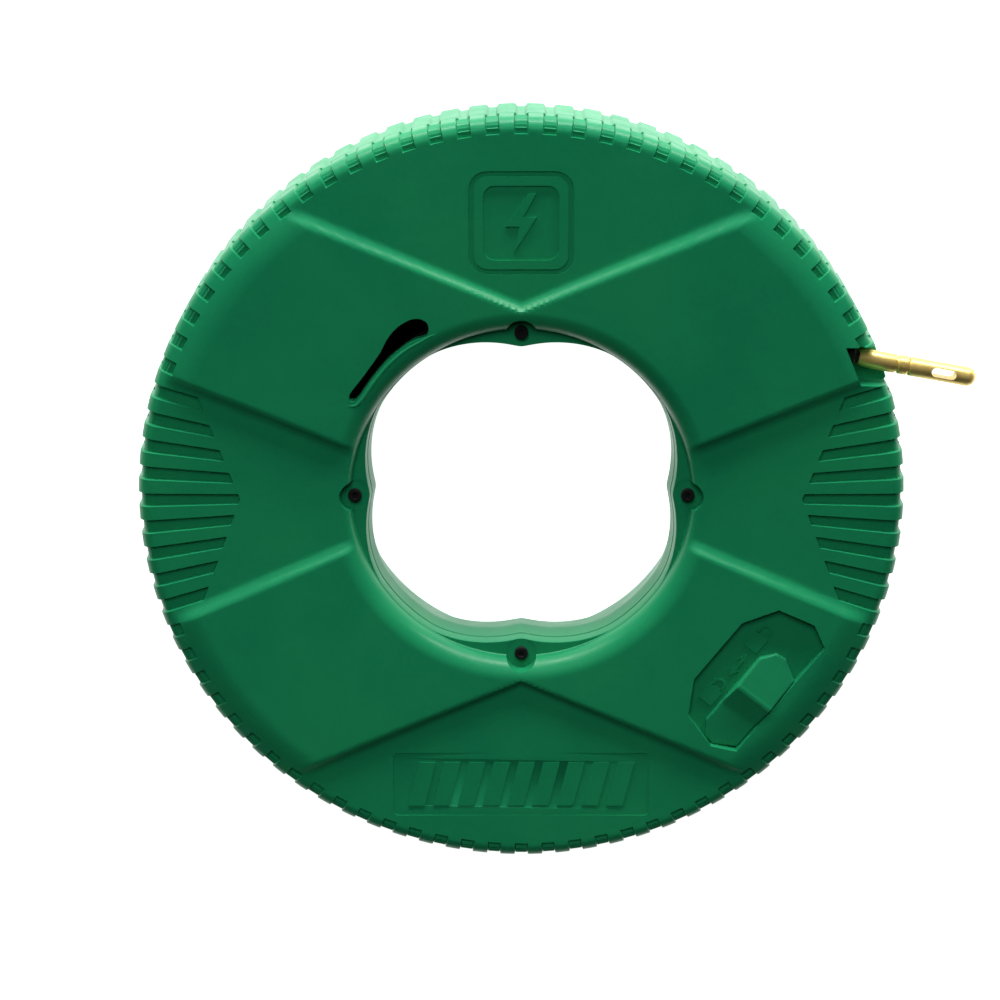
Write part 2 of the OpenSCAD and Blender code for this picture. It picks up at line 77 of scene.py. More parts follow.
JOINTS = {j["name"]: j for j in frame["joints"]}
FOLLOWS = {c["joint"]: c["ratio"] for c in frame["record"]["behaviour"]["couplings"]}
TAPE_ALONG = np.array(JOINTS["tape_feed"]["axis"][:2])
TAPE_OFFSET = FOLLOWS["tape_feed"] / MM
TAPE_FOOT = TAPE_OFFSET * np.array([-TAPE_ALONG[1], TAPE_ALONG[0]])
TAPE_ANGLE = math.atan2(TAPE_ALONG[1], TAPE_ALONG[0])
TAPE_Z = (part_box("tape_lead")[0].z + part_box("tape_lead")[1].z) / 2 / MM
TAPE_R = (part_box("tape_lead")[1].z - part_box("tape_lead")[0].z) / 2 / MM
TIP_R = (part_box("eyelet_tip")[1].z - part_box("eyelet_tip")[0].z) / 2 / MM
EYE_MOUNT = next(m for m in frame["record"]["mounts"] if m["name"] == "pulling_eye")
LOCK_ALONG = np.array(JOINTS["lock_slide"]["axis"][:2])
LOCK_OUT = np.array([LOCK_ALONG[1], -LOCK_ALONG[0]])
LOCK_TRAVEL = JOINTS["lock_slide"]["range_m"][1] / MM

FLOOR_HALF = 4000
FLOOR_Z = -0.3

# ---- Shape of the case, as in the frame's CAD model; the hand hole's wall is up to 3 mm wider

CASE_R = 190.0
PARTING_Z = 42.5
SEAM = 0.15                      # half the hairline between the two shells
EDGE_R = 183.5                   # where the face turns into the rounded rim edge
EDGE_ROUND = CASE_R - EDGE_R
FRONT_EDGE_Z = 60.0
REAR_PANEL_Z = 3.0
ARM_RISE = 3.5
FACE_SLOPE = 4 / 88
ARM_SLOPE = math.radians(23)
END_POINT = 96.5                 # point of the upper and lower panels
SIDE_POINT = 27.9                # point of the side panels
FLARE_R = 95.0
ROLL_R = 10.5
SHOULDER_R = 171.0               # where the arms start to fall to the rim
SHOULDER_TURN = math.radians(66.4)      # where on the rim edge they meet it
SHOULDER_END = EDGE_R + EDGE_ROUND * math.cos(SHOULDER_TURN)
BORE_R = 81.7
BORE_SLOPE = 0.13
MID_Z = 31.5
SLEEVE_R = 86.0                  # inner side of the wall round the hand hole
CAVITY_R = 185.0
GAP_DEPTH = 1.5
GAP_FLOOR_R = EDGE_ROUND - GAP_DEPTH    # radius of the gaps' floor about the rim edge's centre
GAP_END = 182.1                  # where the front shell's gaps start in the face
SCREW_CIRCLE = 82.9
SCREW_SEAT = 49.0
MOUTH_ANGLE = math.radians(22.7)
MOUTH_IN = 176.0
MOUTH_HALF = 10.6
MOUTH_LEAN = 0.46
LOCK_FLOOR = 57.5
ABOVE = 75.0                     # height that clears the whole reel


# ---- Settings that a user would change

class ReelShape(bpy.types.PropertyGroup):
    blocks: IntProperty(
        name="Grip blocks", description="Number of grip blocks round the rim", default=84, min=60, max=96)
    front_gap: FloatProperty(
        name="Front gap", description="Share of the pitch that a gap takes in the front shell",
        default=0.46, min=0.3, max=0.55, subtype="FACTOR")
    rear_gap: FloatProperty(
        name="Rear gap", description="Share of the pitch that a gap takes in the rear shell",
        default=0.34, min=0.3, max=0.55, subtype="FACTOR")
    side_band: FloatProperty(
        name="Side slope", description="Width of the slopes beside the side panels",
        default=7 * MM, unit="LENGTH")
    end_band: FloatProperty(
        name="End slope", description="Width of the slopes beside the upper and lower panels, at the rim",
        default=6.5 * MM, unit="LENGTH")
    groove_depth: FloatProperty(
        name="Groove depth", description="Depth of the long grooves in the side panels",
        default=2.2 * MM, unit="LENGTH")
    boss_bulge: FloatProperty(
        name="Boss bulge", description="How far each screw boss bulges into the hand hole",
        default=9 * MM, unit="LENGTH")
    mark_depth: FloatProperty(
        name="Mark depth", description="Depth of the marks sunk in the face", default=0.9 * MM, unit="LENGTH")
    rib_height: FloatProperty(
        name="Rib height", description="Height of the fine ribs in the rim's gaps",
        default=0.55 * MM, unit="LENGTH")


class ReelFinish(bpy.types.PropertyGroup):
    case_green: FloatVectorProperty(
        name="Case green", description="Colour of the shells", default=(0.009, 0.250, 0.098),
        min=0, max=1, size=3, subtype="COLOR")
    knob_green: FloatVectorProperty(
        name="Knob green", description="Colour of the lock knob", default=(0.010, 0.258, 0.102),
        min=0, max=1, size=3, subtype="COLOR")
    brass: FloatVectorProperty(
        name="Brass", description="Colour of the ferrule and the tip", default=(0.98, 0.74, 0.24),
        min=0, max=1, size=3, subtype="COLOR")
    grain: FloatProperty(
        name="Grain", description="Height of the moulded grain", default=0.03 * MM, unit="LENGTH")


class ReelStage(bpy.types.PropertyGroup):
    camera_distance: FloatProperty(
        name="Camera distance", description="Distance of the camera from the reel's middle",
        default=1.5, unit="LENGTH")
    camera_tilt: FloatProperty(
        name="Camera tilt", description="Angle between the line of sight and the reel's axis",
        default=math.radians(15.3), subtype="ANGLE")
    main_light: FloatProperty(
        name="Main light", description="Power of the long soft light beyond the reel's upper edge",
        default=40, unit="POWER")
    fill_light: FloatProperty(
        name="Fill light", description="Power of the soft light over the camera", default=20, unit="POWER")
    surround: FloatProperty(
        name="Surround", description="Brightness of the white surround", default=0.9, min=0, max=2)


# ---- Meshes

def ramp(value, low, high):
    """0 below low, 1 above high, and a straight line between them."""
    return np.clip((value - low) / (high - low), 0, 1)


def ease(value, low, high):
    """0 below low, 1 above high, and the cubic 3t^2 - 2t^3 between them."""
    t = ramp(value, low, high)
    return t * t * (3 - 2 * t)


def volume_of(points, faces):
    """Signed volume of a closed mesh of triangles and quads: a sixth of the sum of the fans' box products."""
    total = 0.0
    for size in (3, 4):
        group = np.array([f for f in faces if len(f) == size])
        for k in range(size - 2):
            if len(group):
                a, b, c = (points[group[:, i]] for i in (0, k + 1, k + 2))
                total += np.einsum("ij,ij->", a, np.cross(b, c)) / 6
    return total


def new_piece(name, points, faces, sharp=32):
    """An object at the origin from points in millimetres, with its faces turned outwards."""
    points = np.asarray(points, float).reshape(-1, 3)
    if volume_of(points, faces) < 0:
        faces = [f[::-1] for f in faces]
    mesh = bpy.data.meshes.new(name)
    mesh.from_pydata((points * MM).tolist(), [], faces)
    mesh.validate()
    obj = bpy.data.objects.new(name, mesh)
    bpy.context.scene.collection.objects.link(obj)
    shade(obj, sharp)
    return obj


def shade(obj, sharp=32):
    """Smooth shading, with a crease where faces meet at more than the given angle in degrees."""
    obj.data.shade_smooth()
    obj.data.set_sharp_from_angle(angle=math.radians(sharp))


def grid_faces(rows, columns, wrap_rows=False, wrap_columns=True, start=0):
    """Quads between neighbouring points of a grid that is numbered row by row from start."""
    i = np.arange(rows if wrap_rows else rows - 1)[:, None]
    j = np.arange(columns if wrap_columns else columns - 1)[None, :]
    i2, j2 = (i + 1) % rows, (j + 1) % columns
    quads = np.stack([i * columns + j, i2 * columns + j, i2 * columns + j2, i * columns + j2], -1)
    return (quads.reshape(-1, 4) + start).tolist()


def capped_tube(grid):
    """Points and faces of a tube from a grid of rings, each end closed by a fan round its middle."""
    rings, sides = grid.shape[:2]
    points = np.concatenate([grid.reshape(-1, 3), [grid[0].mean(0), grid[-1].mean(0)]])
    faces = grid_faces(rings, sides)
    k = np.arange(sides)
    last = (rings - 1) * sides
    faces += np.stack([np.full(sides, rings * sides), k, (k + 1) % sides], -1).tolist()
    faces += np.stack([np.full(sides, rings * sides + 1), last + (k + 1) % sides, last + k], -1).tolist()
    return points, faces


def join_parts(parts):
    """One list of points and one of faces from several pairs of them."""
    points, faces, start = [], [], 0
    for p, f in parts:
        points.append(p)
        faces += [[v + start for v in face] for face in f]
        start += len(p)
    return np.concatenate(points), faces


def revolve(profile, sides=96):
    """Grid of points: a profile of (radius, height) rows turned round Z, (r cos t, r sin t, z)."""
    profile = np.asarray(profile, float)
    a = np.arange(sides) * 2 * math.pi / sides
    r, z = profile[:, :1], profile[:, 1:]
    grid = np.stack([r * np.cos(a), r * np.sin(a), np.broadcast_to(z, (len(profile), sides))], -1)
    return grid


def tube_grid(path, radius, sides):
    """Rings round a path: each lies across the path's direction, with one axis level."""
    path = np.asarray(path, float)
    along = np.gradient(path, axis=0)
    along /= np.linalg.norm(along, axis=1, keepdims=True)
    level = np.cross([0, 0, 1], along)
    level /= np.linalg.norm(level, axis=1, keepdims=True)
    across = np.cross(along, level)
    a = np.arange(sides) * 2 * math.pi / sides
    radius = np.broadcast_to(radius, len(path))[:, None, None]
    return path[:, None] + radius * (
        level[:, None] * np.cos(a)[None, :, None] + across[:, None] * np.sin(a)[None, :, None])


def signed_area(loop):
    x, y = loop[:, 0], loop[:, 1]
    return float(np.dot(x, np.roll(y, -1)) - np.dot(np.roll(x, -1), y)) / 2


def prism(loops, low, high, top_loops=None):
    """Points and faces of an upright block. The first loop is its outline and the others are holes;
    low and high are heights, or functions of x and y that give them."""
    top_loops = top_loops or loops
    turned = [signed_area(l) * (1 if i == 0 else -1) < 0 for i, l in enumerate(loops)]
    loops = [l[::-1] if t else l for l, t in zip(loops, turned)]
    top_loops = [l[::-1] if t else l for l, t in zip(top_loops, turned)]
    flat, top_flat = np.concatenate(loops), np.concatenate(top_loops)
    n = len(flat)
    height = [np.broadcast_to(h(f[:, 0], f[:, 1]) if callable(h) else h, n)
              for h, f in ((low, flat), (high, top_flat))]
    points = np.concatenate([np.column_stack([flat, height[0]]), np.column_stack([top_flat, height[1]])])
    tris = np.array(tessellate_polygon([[Vector((x, y, 0)) for x, y in l] for l in loops]))
    a, b, c = (flat[tris[:, i]] for i in range(3))
    area = (b[:, 0] - a[:, 0]) * (c[:, 1] - a[:, 1]) - (c[:, 0] - a[:, 0]) * (b[:, 1] - a[:, 1])
    tris[area < 0] = tris[area < 0][:, ::-1]
    faces = tris[:, ::-1].tolist() + (tris + n).tolist()
    start = 0
    for l in loops:
        i = start + np.arange(len(l))
        j = start + (np.arange(len(l)) + 1) % len(l)
        faces += np.stack([i, j, j + n, i + n], -1).tolist()
        start += len(l)
    return points, faces


def arc_points(centre, radius, first, last, steps):
    """Points of an arc in a plane, from one angle to another in degrees."""
    a = np.radians(np.linspace(first, last, steps + 1))
    return np.column_stack([centre[0] + radius * np.cos(a), centre[1] + radius * np.sin(a)])


def rounded_box(half_x, half_y, corner, steps=6):
    """Outline of a rectangle with round corners, about the origin."""
    corners = [(1, 1, 0), (-1, 1, 90), (-1, -1, 180), (1, -1, 270)]
    return np.concatenate([
        arc_points((sx * (half_x - corner), sy * (half_y - corner)), corner, a, a + 90, steps)
        for sx, sy, a in corners])


def smooth_loop(points, steps=8):
    """A closed Catmull-Rom curve through the points, in steps per span."""
    p = np.asarray(points, float)
    p0, p2, p3 = np.roll(p, 1, 0), np.roll(p, -1, 0), np.roll(p, -2, 0)
    t = (np.arange(steps) / steps)[None, :, None]
    p0, p1, p2, p3 = (q[:, None] for q in (p0, p, p2, p3))
    curve = 0.5 * (2 * p1 + (p2 - p0) * t + (2 * p0 - 5 * p1 + 4 * p2 - p3) * t ** 2
                   + (3 * p1 - p0 - 3 * p2 + p3) * t ** 3)
    return curve.reshape(-1, 2)


def polar(radius, degrees):
    return np.array([radius * math.cos(math.radians(degrees)), radius * math.sin(math.radians(degrees))])


def in_lock(points, shift=0.0):
    """Points of the lock's own frame, x outwards and y along the rim, moved to the reel's frame."""
    points = np.asarray(points, float)
    xy = points[..., :1] * LOCK_OUT + (points[..., 1:2] + shift) * LOCK_ALONG
    return np.concatenate([xy, points[..., 2:]], -1)


def on_tape_line(grid):
    """Points whose z runs along the tape's exit line, moved to the reel's frame."""
    side = np.array([-TAPE_ALONG[1], TAPE_ALONG[0], 0])
    along = np.array([TAPE_ALONG[0], TAPE_ALONG[1], 0])
    start = np.array([TAPE_FOOT[0], TAPE_FOOT[1], TAPE_Z])
    return start + grid[..., :1] * np.array([0, 0, -1]) + grid[..., 1:2] * side + grid[..., 2:] * along


def cut(obj, parts, name):
    """Takes closed cutting blocks, which don't touch each other, out of a piece."""
    points, faces = join_parts(parts)
    tool = new_piece(name, points, faces)
    modifier = obj.modifiers.new(name, "BOOLEAN")
    modifier.operation = "DIFFERENCE"
    modifier.solver = "EXACT"
    modifier.object = tool
    settled = bpy.data.meshes.new_from_object(obj.evaluated_get(bpy.context.evaluated_depsgraph_get()))
    obj.modifiers.remove(modifier)
    old = obj.data
    obj.data = settled
    settled.name = obj.name
    bpy.data.meshes.remove(old)
    bpy.data.meshes.remove(tool.data)
    if not len(settled.polygons):
        raise RuntimeError(f"cutting {obj.name} left nothing")


def soften(obj, width, segments=2):
    """A live bevel on the edges sharper than 40 degrees."""
    bevel = obj.modifiers.new("edges", "BEVEL")
    bevel.width = width * MM
    bevel.segments = segments
    bevel.limit_method = "ANGLE"
    bevel.angle_limit = math.radians(40)
    bevel.harden_normals = False


# ---- Finishes

class Nodes:
    """A short way to wire a material's nodes."""

    def __init__(self, name):
        self.material = bpy.data.materials.new(name)
        self.material.use_nodes = True
        self.tree = self.material.node_tree
        self.shader = self.tree.nodes["Principled BSDF"]
        self.place = self.tree.nodes.new("ShaderNodeTexCoord").outputs["Object"]

    def link(self, source, target):
        self.tree.links.new(source, target)

    def mapping(self, scale=(1, 1, 1), turn=(0, 0, 0)):
        node = self.tree.nodes.new("ShaderNodeMapping")
        node.inputs["Scale"].default_value = scale
        node.inputs["Rotation"].default_value = turn
        self.link(self.place, node.inputs["Vector"])
        return node.outputs["Vector"]

    def noise(self, scale, detail=3.0, rough=0.5, at=None):
        node = self.tree.nodes.new("ShaderNodeTexNoise")
        node.inputs["Scale"].default_value = scale
        node.inputs["Detail"].default_value = detail
        node.inputs["Roughness"].default_value = rough
        self.link(at or self.place, node.inputs["Vector"])
        return node.outputs["Fac"]

    def spread(self, value, low, high, to_low=0.0, to_high=1.0):
        node = self.tree.nodes.new("ShaderNodeMapRange")
        for key, number in (("From Min", low), ("From Max", high), ("To Min", to_low), ("To Max", to_high)):
            node.inputs[key].default_value = number
        self.link(value, node.inputs["Value"])
        return node.outputs["Result"]

    def mix(self, factor, a, b):
        node = self.tree.nodes.new("ShaderNodeMix")
        node.data_type = "RGBA"
        self.link(factor, node.inputs["Factor"])
        for value, socket in ((a, node.inputs["A"]), (b, node.inputs["B"])):
            if isinstance(value, bpy.types.NodeSocket):
                self.link(value, socket)
            else:
                socket.default_value = (*value, 1)
        return node.outputs["Result"]

    def bumps(self, *layers):
        """Bump layers of (height, distance in metres), the coarsest first."""
        normal = None
        for height, distance in layers:
            node = self.tree.nodes.new("ShaderNodeBump")
            node.inputs["Distance"].default_value = distance
            self.link(height, node.inputs["Height"])
            if normal:
                self.link(normal, node.inputs["Normal"])
            normal = node.outputs["Normal"]
        self.link(normal, self.shader.inputs["Normal"])


def tint(colour, factor):
    return tuple(min(1.0, c * f) for c, f in zip(colour, factor))


def moulded_plastic(name, colour, rough=(0.3, 0.42), grain=0.03 * MM, cloud=0.14):
    """Moulded plastic: cloudy flow marks, a fine stippled grain and an uneven satin gloss."""
    if name in bpy.data.materials:
        return bpy.data.materials[name]
    n = Nodes(name)
    clouds = n.spread(n.noise(14, 4, 0.6), 0.35, 0.65)
    specks = n.spread(n.noise(420, 2, 0.6), 0.3, 0.7)
    base = n.mix(clouds, tint(colour, (1 - cloud, 1 - cloud * 0.5, 1 - cloud * 0.1)),
                 tint(colour, (1 + cloud * 2, 1 + cloud * 0.5, 1 + cloud * 0.3)))
    base = n.mix(n.spread(specks, 0, 1, 0, 0.16), base, tint(colour, (1.9, 1.35, 1.4)))
    n.link(base, n.shader.inputs["Base Color"])
    n.link(n.spread(n.noise(60, 4, 0.55), 0.3, 0.7, *rough), n.shader.inputs["Roughness"])
    n.bumps((n.noise(160, 2), grain * 2), (n.noise(1500, 2, 0.7), grain))
    n.shader.inputs["IOR"].default_value = 1.49
    n.shader.inputs["Specular IOR Level"].default_value = 0.3
    return n.material


def metal(name, colour, rough=(0.2, 0.34), turn=(0, 0, 0), stretch=(1, 1, 1), lines=0.006 * MM):
    """Machined metal: tool lines across one axis, faint stains and an uneven polish."""
    if name in bpy.data.materials:
        return bpy.data.materials[name]
    n = Nodes(name)
    at = n.mapping(stretch, turn)
    stains = n.spread(n.noise(90, 3, 0.6), 0.35, 0.7)
    n.link(n.mix(stains, colour, tint(colour, (0.86, 0.82, 0.72))), n.shader.inputs["Base Color"])
    n.link(n.spread(n.noise(240, 3, 0.5, at), 0.3, 0.7, *rough), n.shader.inputs["Roughness"])
    n.bumps((n.noise(900, 2, 0.5, at), lines))
    n.shader.inputs["Metallic"].default_value = 0.65
    return n.material


def case_plastic():
    finish = bpy.context.scene.reel_finish
    return moulded_plastic("case_plastic", tuple(finish.case_green), grain=finish.grain)


def black_nylon():
    return moulded_plastic("black_nylon", (0.014, 0.014, 0.015), (0.38, 0.56), 0.03 * MM, 0.2)


def tape_skin():
    return moulded_plastic("tape_skin", (0.018, 0.018, 0.019), (0.24, 0.36), 0.015 * MM, 0.25)


def zinc_steel():
    return metal("zinc_steel", (0.52, 0.53, 0.55), (0.26, 0.42))


def black_steel():
    return metal("black_steel", (0.035, 0.036, 0.038), (0.3, 0.45))


def brass_finish():
    """Turned brass: the tool lines run round the tape's exit line."""
    brass = tuple(bpy.context.scene.reel_finish.brass)
    return metal("turned_brass", brass, (0.32, 0.46), (0, 0, -TAPE_ANGLE), (3.2, 0.25, 0.25), 0.012 * MM)


def finish(obj, material, body, slot, replaces=()):
    """Gives a new piece its finish and its body, and hides the CAD nodes that it stands for; slot is not used."""
    obj.data.materials.clear()
    obj.data.materials.append(material)
    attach(obj, body)
    if replaces:
        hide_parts(*replaces)
    return obj


# ---- The two shells

def rim_columns(blocks, share, slant):
    """Angles of the columns round the case, and 1 for those inside a gap. Each pitch has the same ten
    places: the gap's middle, its sides twice each, a slant apart, and the block's own."""
    half = share / 2
    places = np.array([-0.37, -half - slant, -half + slant, -half / 2, 0,
                       half / 2, half - slant, half + slant, 0.37, 0.5])
    turns = (np.arange(blocks)[:, None] + places).ravel()
    return turns * 2 * math.pi / blocks, np.tile((np.abs(places) < half).astype(float), blocks)


def front_panel_z(r):
    """Height of the front panels: a shallow cone that dishes towards the hand hole."""
    return FRONT_EDGE_Z - (EDGE_R - r) * FACE_SLOPE


def shoulder_fall(r):
    """How far the arms have fallen at radius r: a parabola that starts level at the shoulder."""
    edge_z = FRONT_EDGE_Z - EDGE_ROUND + EDGE_ROUND * math.sin(SHOULDER_TURN)
    drop = front_panel_z(SHOULDER_R) + ARM_RISE - edge_z
    return drop * (np.maximum(r - SHOULDER_R, 0) / (SHOULDER_END - SHOULDER_R)) ** 2


def panel_share(x, y, shape):
    """1 on the four sunk panels and 0 on the arms. Across each panel's edge line the share falls over a
    band: gently on the panel's half, steeply on the arm's. The end bands narrow towards the panel's point."""
    ax, ay = np.abs(x), np.abs(y)
    slope, c = math.tan(ARM_SLOPE), math.cos(ARM_SLOPE)
    end = (ay - END_POINT - ax * slope) * c
    side = ((ax - SIDE_POINT) * slope - ay) * c
    end_band = 4.5 + (shape.end_band / MM - 4.5) * ramp(ax, 4, 80)
    t = np.maximum(ramp(end / end_band, -0.5, 0.5), ramp(side / (shape.side_band / MM), -0.5, 0.5))
    return np.interp(t, [0, 0.08, 0.2, 0.5, 0.8, 0.92, 1], [0, 0.02, 0.1, 0.63, 0.93, 0.985, 1])


def soft_positive(x, k=0.8):
    """x where it is positive and 0 where it isn't, rounded over a width k."""
    return (x + np.sqrt(x * x + k * k)) / 2


def boss_bulge(angle, shape):
    """How far the bore's wall bulges at an angle: a cusp over 33 degrees each side of each case screw."""
    away = np.abs((np.degrees(angle) + 45) % 90 - 45)
    point = np.sqrt((away / 33.0) ** 2 + 0.002)
    return shape.boss_bulge / MM * np.clip(1 - point, 0, 1) ** 1.4


def near_mouth(angle, reach):
    """1 for the columns that lie within reach degrees of the mouth's middle."""
    return (np.abs(np.degrees(angle) - np.degrees(MOUTH_ANGLE) + 1) < reach).astype(float)


def side_groove(angle, blocks, count=9):
    """1 for the columns of the side panels' grooves and the blocks between them."""
    pitch = 360 / blocks
    away = np.abs((np.degrees(angle) + 90) % 180 - 90)
    return (away < pitch * count / 2).astype(float)


def chevron_radius(angle):
    """Radius at which a side groove starts: its ends lie on |x| = 139.5 + 0.372 |y|. Away from the side
    panels it eases to 150."""
    away = np.radians(np.abs((np.degrees(angle) + 90) % 180 - 90))
    held = np.minimum(away, math.radians(19.5))
    start = 139.5 / (np.cos(held) - 0.372 * np.sin(held))
    return start + (150 - start) * ease(np.degrees(away), 19.5, 32)


def edge_rows(turned, in_gap, centre_z, sign):
    """Rows of the rounded rim edge. On a block they follow an arc of the edge's radius; in a gap they drop
    down a wall at the face's end and follow a smaller arc. turned are (block angle, gap angle, depth)."""
    rows = []
    for block, gap, depth in turned:
        b, g = math.radians(block), math.radians(gap)
        small = EDGE_ROUND - (EDGE_ROUND - GAP_FLOOR_R) * depth
        r = EDGE_R + EDGE_ROUND * math.cos(b) + in_gap * (small * math.cos(g) - EDGE_ROUND * math.cos(b))
        z = EDGE_ROUND * math.sin(b) + in_gap * (small * math.sin(g) - EDGE_ROUND * math.sin(b))
        rows.append((r, centre_z + sign * z))
    return rows


EDGE_TURNS = [(70, 69, 1), (61, 60, 1), (51, 50, 1), (40, 39, 1), (28, 27, 1), (14, 14, 1), (0, 0, 1)]


def front_surface(shape):
    """Closed surface of the front shell: the profile runs up the bore, over the flare, out along the face,
    round the edge, down the belt and back along the inside. Rows are the profile, columns the angle."""
    angle, in_gap = rim_columns(shape.blocks, shape.front_gap, 0.022)
    full = np.ones_like(angle)
    cos, sin = np.cos(angle), np.sin(angle)
    bulge = boss_bulge(angle, shape)
    grooved = side_groove(angle, shape.blocks) * in_gap
    rows = []

    def add(r, z):
        rows.append((r * full, z * full))

    for z, r in ((PARTING_Z + SEAM, 0.35), (PARTING_Z + SEAM + 0.35, 0), (45, 0), (48.5, 0), (48.85, 0.08),
                 (SCREW_SEAT, 0.3)):
        add(BORE_R + (z - MID_Z) * BORE_SLOPE - bulge + r, z)
    # shelf of the screw bosses, and the thin lip between it and the flare
    lip = FLARE_R - ROLL_R - 0.35
    add(lip - 0.1 * bulge, SCREW_SEAT)
    for r, z in ((lip, SCREW_SEAT), (lip - 0.05, SCREW_SEAT + 0.15), (lip, SCREW_SEAT + 0.6),
                 (lip + 0.2, 49.8)):
        add(r, z)
    flare_z = front_panel_z(FLARE_R) + ARM_RISE - ROLL_R
    for turn in np.linspace(173, 90, 15):
        a = math.radians(turn)
        r = (FLARE_R + ROLL_R * math.cos(a)) * full
        z = flare_z + ROLL_R * math.sin(a)
        share = panel_share(r * cos, r * sin, shape)
        add(r, z - share * soft_positive(z - front_panel_z(r)))
    start = chevron_radius(angle)
    inner = [FLARE_R + (start - 0.25 - FLARE_R) * t for t in np.linspace(0, 1, 40)[1:]]
    outer = [start + 0.25 + (178.3 - start - 0.25) * t for t in np.linspace(0, 1, 21)]
    edge = [r * full for r in (179.1, 180.6, GAP_END, GAP_END + 0.25, 183.5, 184.5)]
    groove = shape.groove_depth / MM
    for k, r in enumerate(inner + outer + edge):
        arm = front_panel_z(np.minimum(r, SHOULDER_R)) + ARM_RISE - shoulder_fall(r)
        panel = front_panel_z(np.minimum(r, EDGE_R)) - np.maximum(r - EDGE_R, 0) ** 2 / (2 * EDGE_ROUND)
        z = arm - panel_share(r * cos, r * sin, shape) * np.maximum(arm - panel, 0)
        z = z - grooved * (groove if k >= len(inner) else 0)
        if k >= len(inner) + len(outer) + 3:
            floor = FRONT_EDGE_Z - EDGE_ROUND + np.sqrt(GAP_FLOOR_R ** 2 - (r - EDGE_R) ** 2)
            z = z - in_gap * np.maximum(z - floor, 0)
        add(r, z)
    for r, z in edge_rows([(78, 77, 1)] + EDGE_TURNS, in_gap, FRONT_EDGE_Z - EDGE_ROUND, 1):
        arm = front_panel_z(SHOULDER_R) + ARM_RISE - shoulder_fall(r)
        lift = (1 - panel_share(r * cos, r * sin, shape)) * np.maximum(arm - z, 0) * (r < SHOULDER_END)
        add(r, z + lift * (1 - in_gap) - grooved * np.maximum(z - FRONT_EDGE_Z + groove, 0))
    floor = CASE_R - GAP_DEPTH * in_gap
    for z, inset in ((47.5, 0), (45.2, 0), (PARTING_Z + SEAM + 0.45, 0), (PARTING_Z + SEAM, 0.45)):
        add(floor - inset, z)
    solid = near_mouth(angle, 7.0)
    by_screw = (np.abs((np.degrees(angle) + 45) % 90 - 45) < 6.5).astype(float)
    for r, z in ((CAVITY_R, PARTING_Z + SEAM), (CAVITY_R, 51.5), (181.5, 55.2), (170, 56.3), (140, 54.9),
                 (118, 53.9), (98, 52.9)):
        add(r - solid * max(r - 171, 0), z)
    for r, z in ((93.2, 52.2), (89.5, 50.8), (86.4, 47.5), (SLEEVE_R, PARTING_Z + SEAM)):
        add(r, z - by_screw * max(z - 47.2, 0))
    return rows, cos, sin


def rear_surface(shape):
    """Closed surface of the rear shell, worked out as the front one, with its face looking down."""
    angle, in_gap = rim_columns(shape.blocks, shape.rear_gap, 0.04)
    full = np.ones_like(angle)
    cos, sin = np.cos(angle), np.sin(angle)
    bulge = boss_bulge(angle, shape)
    rows = []

    def add(r, z):
        rows.append((r * full, z * full))

    for z in (PARTING_Z - SEAM, PARTING_Z - SEAM - 0.35, 40, 37, 34, 32.4, 31.5, 30.6, 29, 26, 22,
              18.5, 16.2, 14.8, 14):
        waist = BORE_R + BORE_SLOPE * (math.hypot(z - MID_Z, 1.2) - 1.2)
        held = math.sqrt(max(0, 1 - max(0, (16.5 - z) / 3.0) ** 2))
        add(waist - bulge * held + (0.35 if z == PARTING_Z - SEAM else 0), z)
    for turn in np.linspace(181.5, 270, 16):
        a = math.radians(turn)
        r = (FLARE_R + ROLL_R * math.cos(a)) * full
        z = ROLL_R + ROLL_R * math.sin(a)
        share = panel_share(r * cos, r * sin, shape)
        add(r, z + share * soft_positive(REAR_PANEL_Z - z))
    for r in np.concatenate([np.linspace(97, 171, 47), [174, 177, 180, 182.4, 184.3]]):
        arm = shoulder_fall(r)
        panel = REAR_PANEL_Z + max(r - EDGE_R, 0) ** 2 / (2 * EDGE_ROUND)
        add(r, arm + panel_share(r * cos, r * sin, shape) * max(panel - arm, 0))
    for r, z in edge_rows([(80, 80, 0), (79, 74, 1)] + EDGE_TURNS, in_gap, REAR_PANEL_Z + EDGE_ROUND, -1):
        arm = shoulder_fall(r)
        lift = (1 - panel_share(r * cos, r * sin, shape)) * np.maximum(z - arm, 0) * (r < SHOULDER_END)
        add(r, z - lift * (1 - in_gap * (z > 4.5)))
    floor = CASE_R - GAP_DEPTH * in_gap
    for z, inset in ((17, 0), (24, 0), (33, 0), (PARTING_Z - SEAM - 0.45, 0), (PARTING_Z - SEAM, 0.45)):
        add(floor - inset, z)
    ledge = near_mouth(angle, 5.4) * 10
    for r, z in ((CAVITY_R - ledge, PARTING_Z - SEAM), (CAVITY_R - ledge, 40.9), (CAVITY_R, 40.8), (CAVITY_R, 10.5),
                 (180, 6), (96, 6), (88.5, 6.6), (SLEEVE_R, 12), (SLEEVE_R, PARTING_Z - SEAM)):
        add(r, z)
    return rows, cos, sin


def shell_piece(name, surface):
    """A shell from its rows of (radius, height) and the columns' cosines and sines."""
    rows, cos, sin = surface
    r, z = (np.stack([row[k] for row in rows]) for k in (0, 1))
    grid = np.stack([r * cos, r * sin, z], -1)
    return new_piece(name, grid, grid_faces(len(rows), len(cos), wrap_rows=True))


def mouth_outline(reach=24):
    """Outline of the mouth: its sides are straight and lean as they go outwards."""
    lean = reach * MOUTH_LEAN
    local = np.array([[MOUTH_IN, MOUTH_HALF], [MOUTH_IN, -MOUTH_HALF],
                      [MOUTH_IN + reach, -MOUTH_HALF - lean], [MOUTH_IN + reach, MOUTH_HALF - lean]])
    c, s = math.cos(MOUTH_ANGLE), math.sin(MOUTH_ANGLE)
    return local @ np.array([[c, s], [-s, c]])


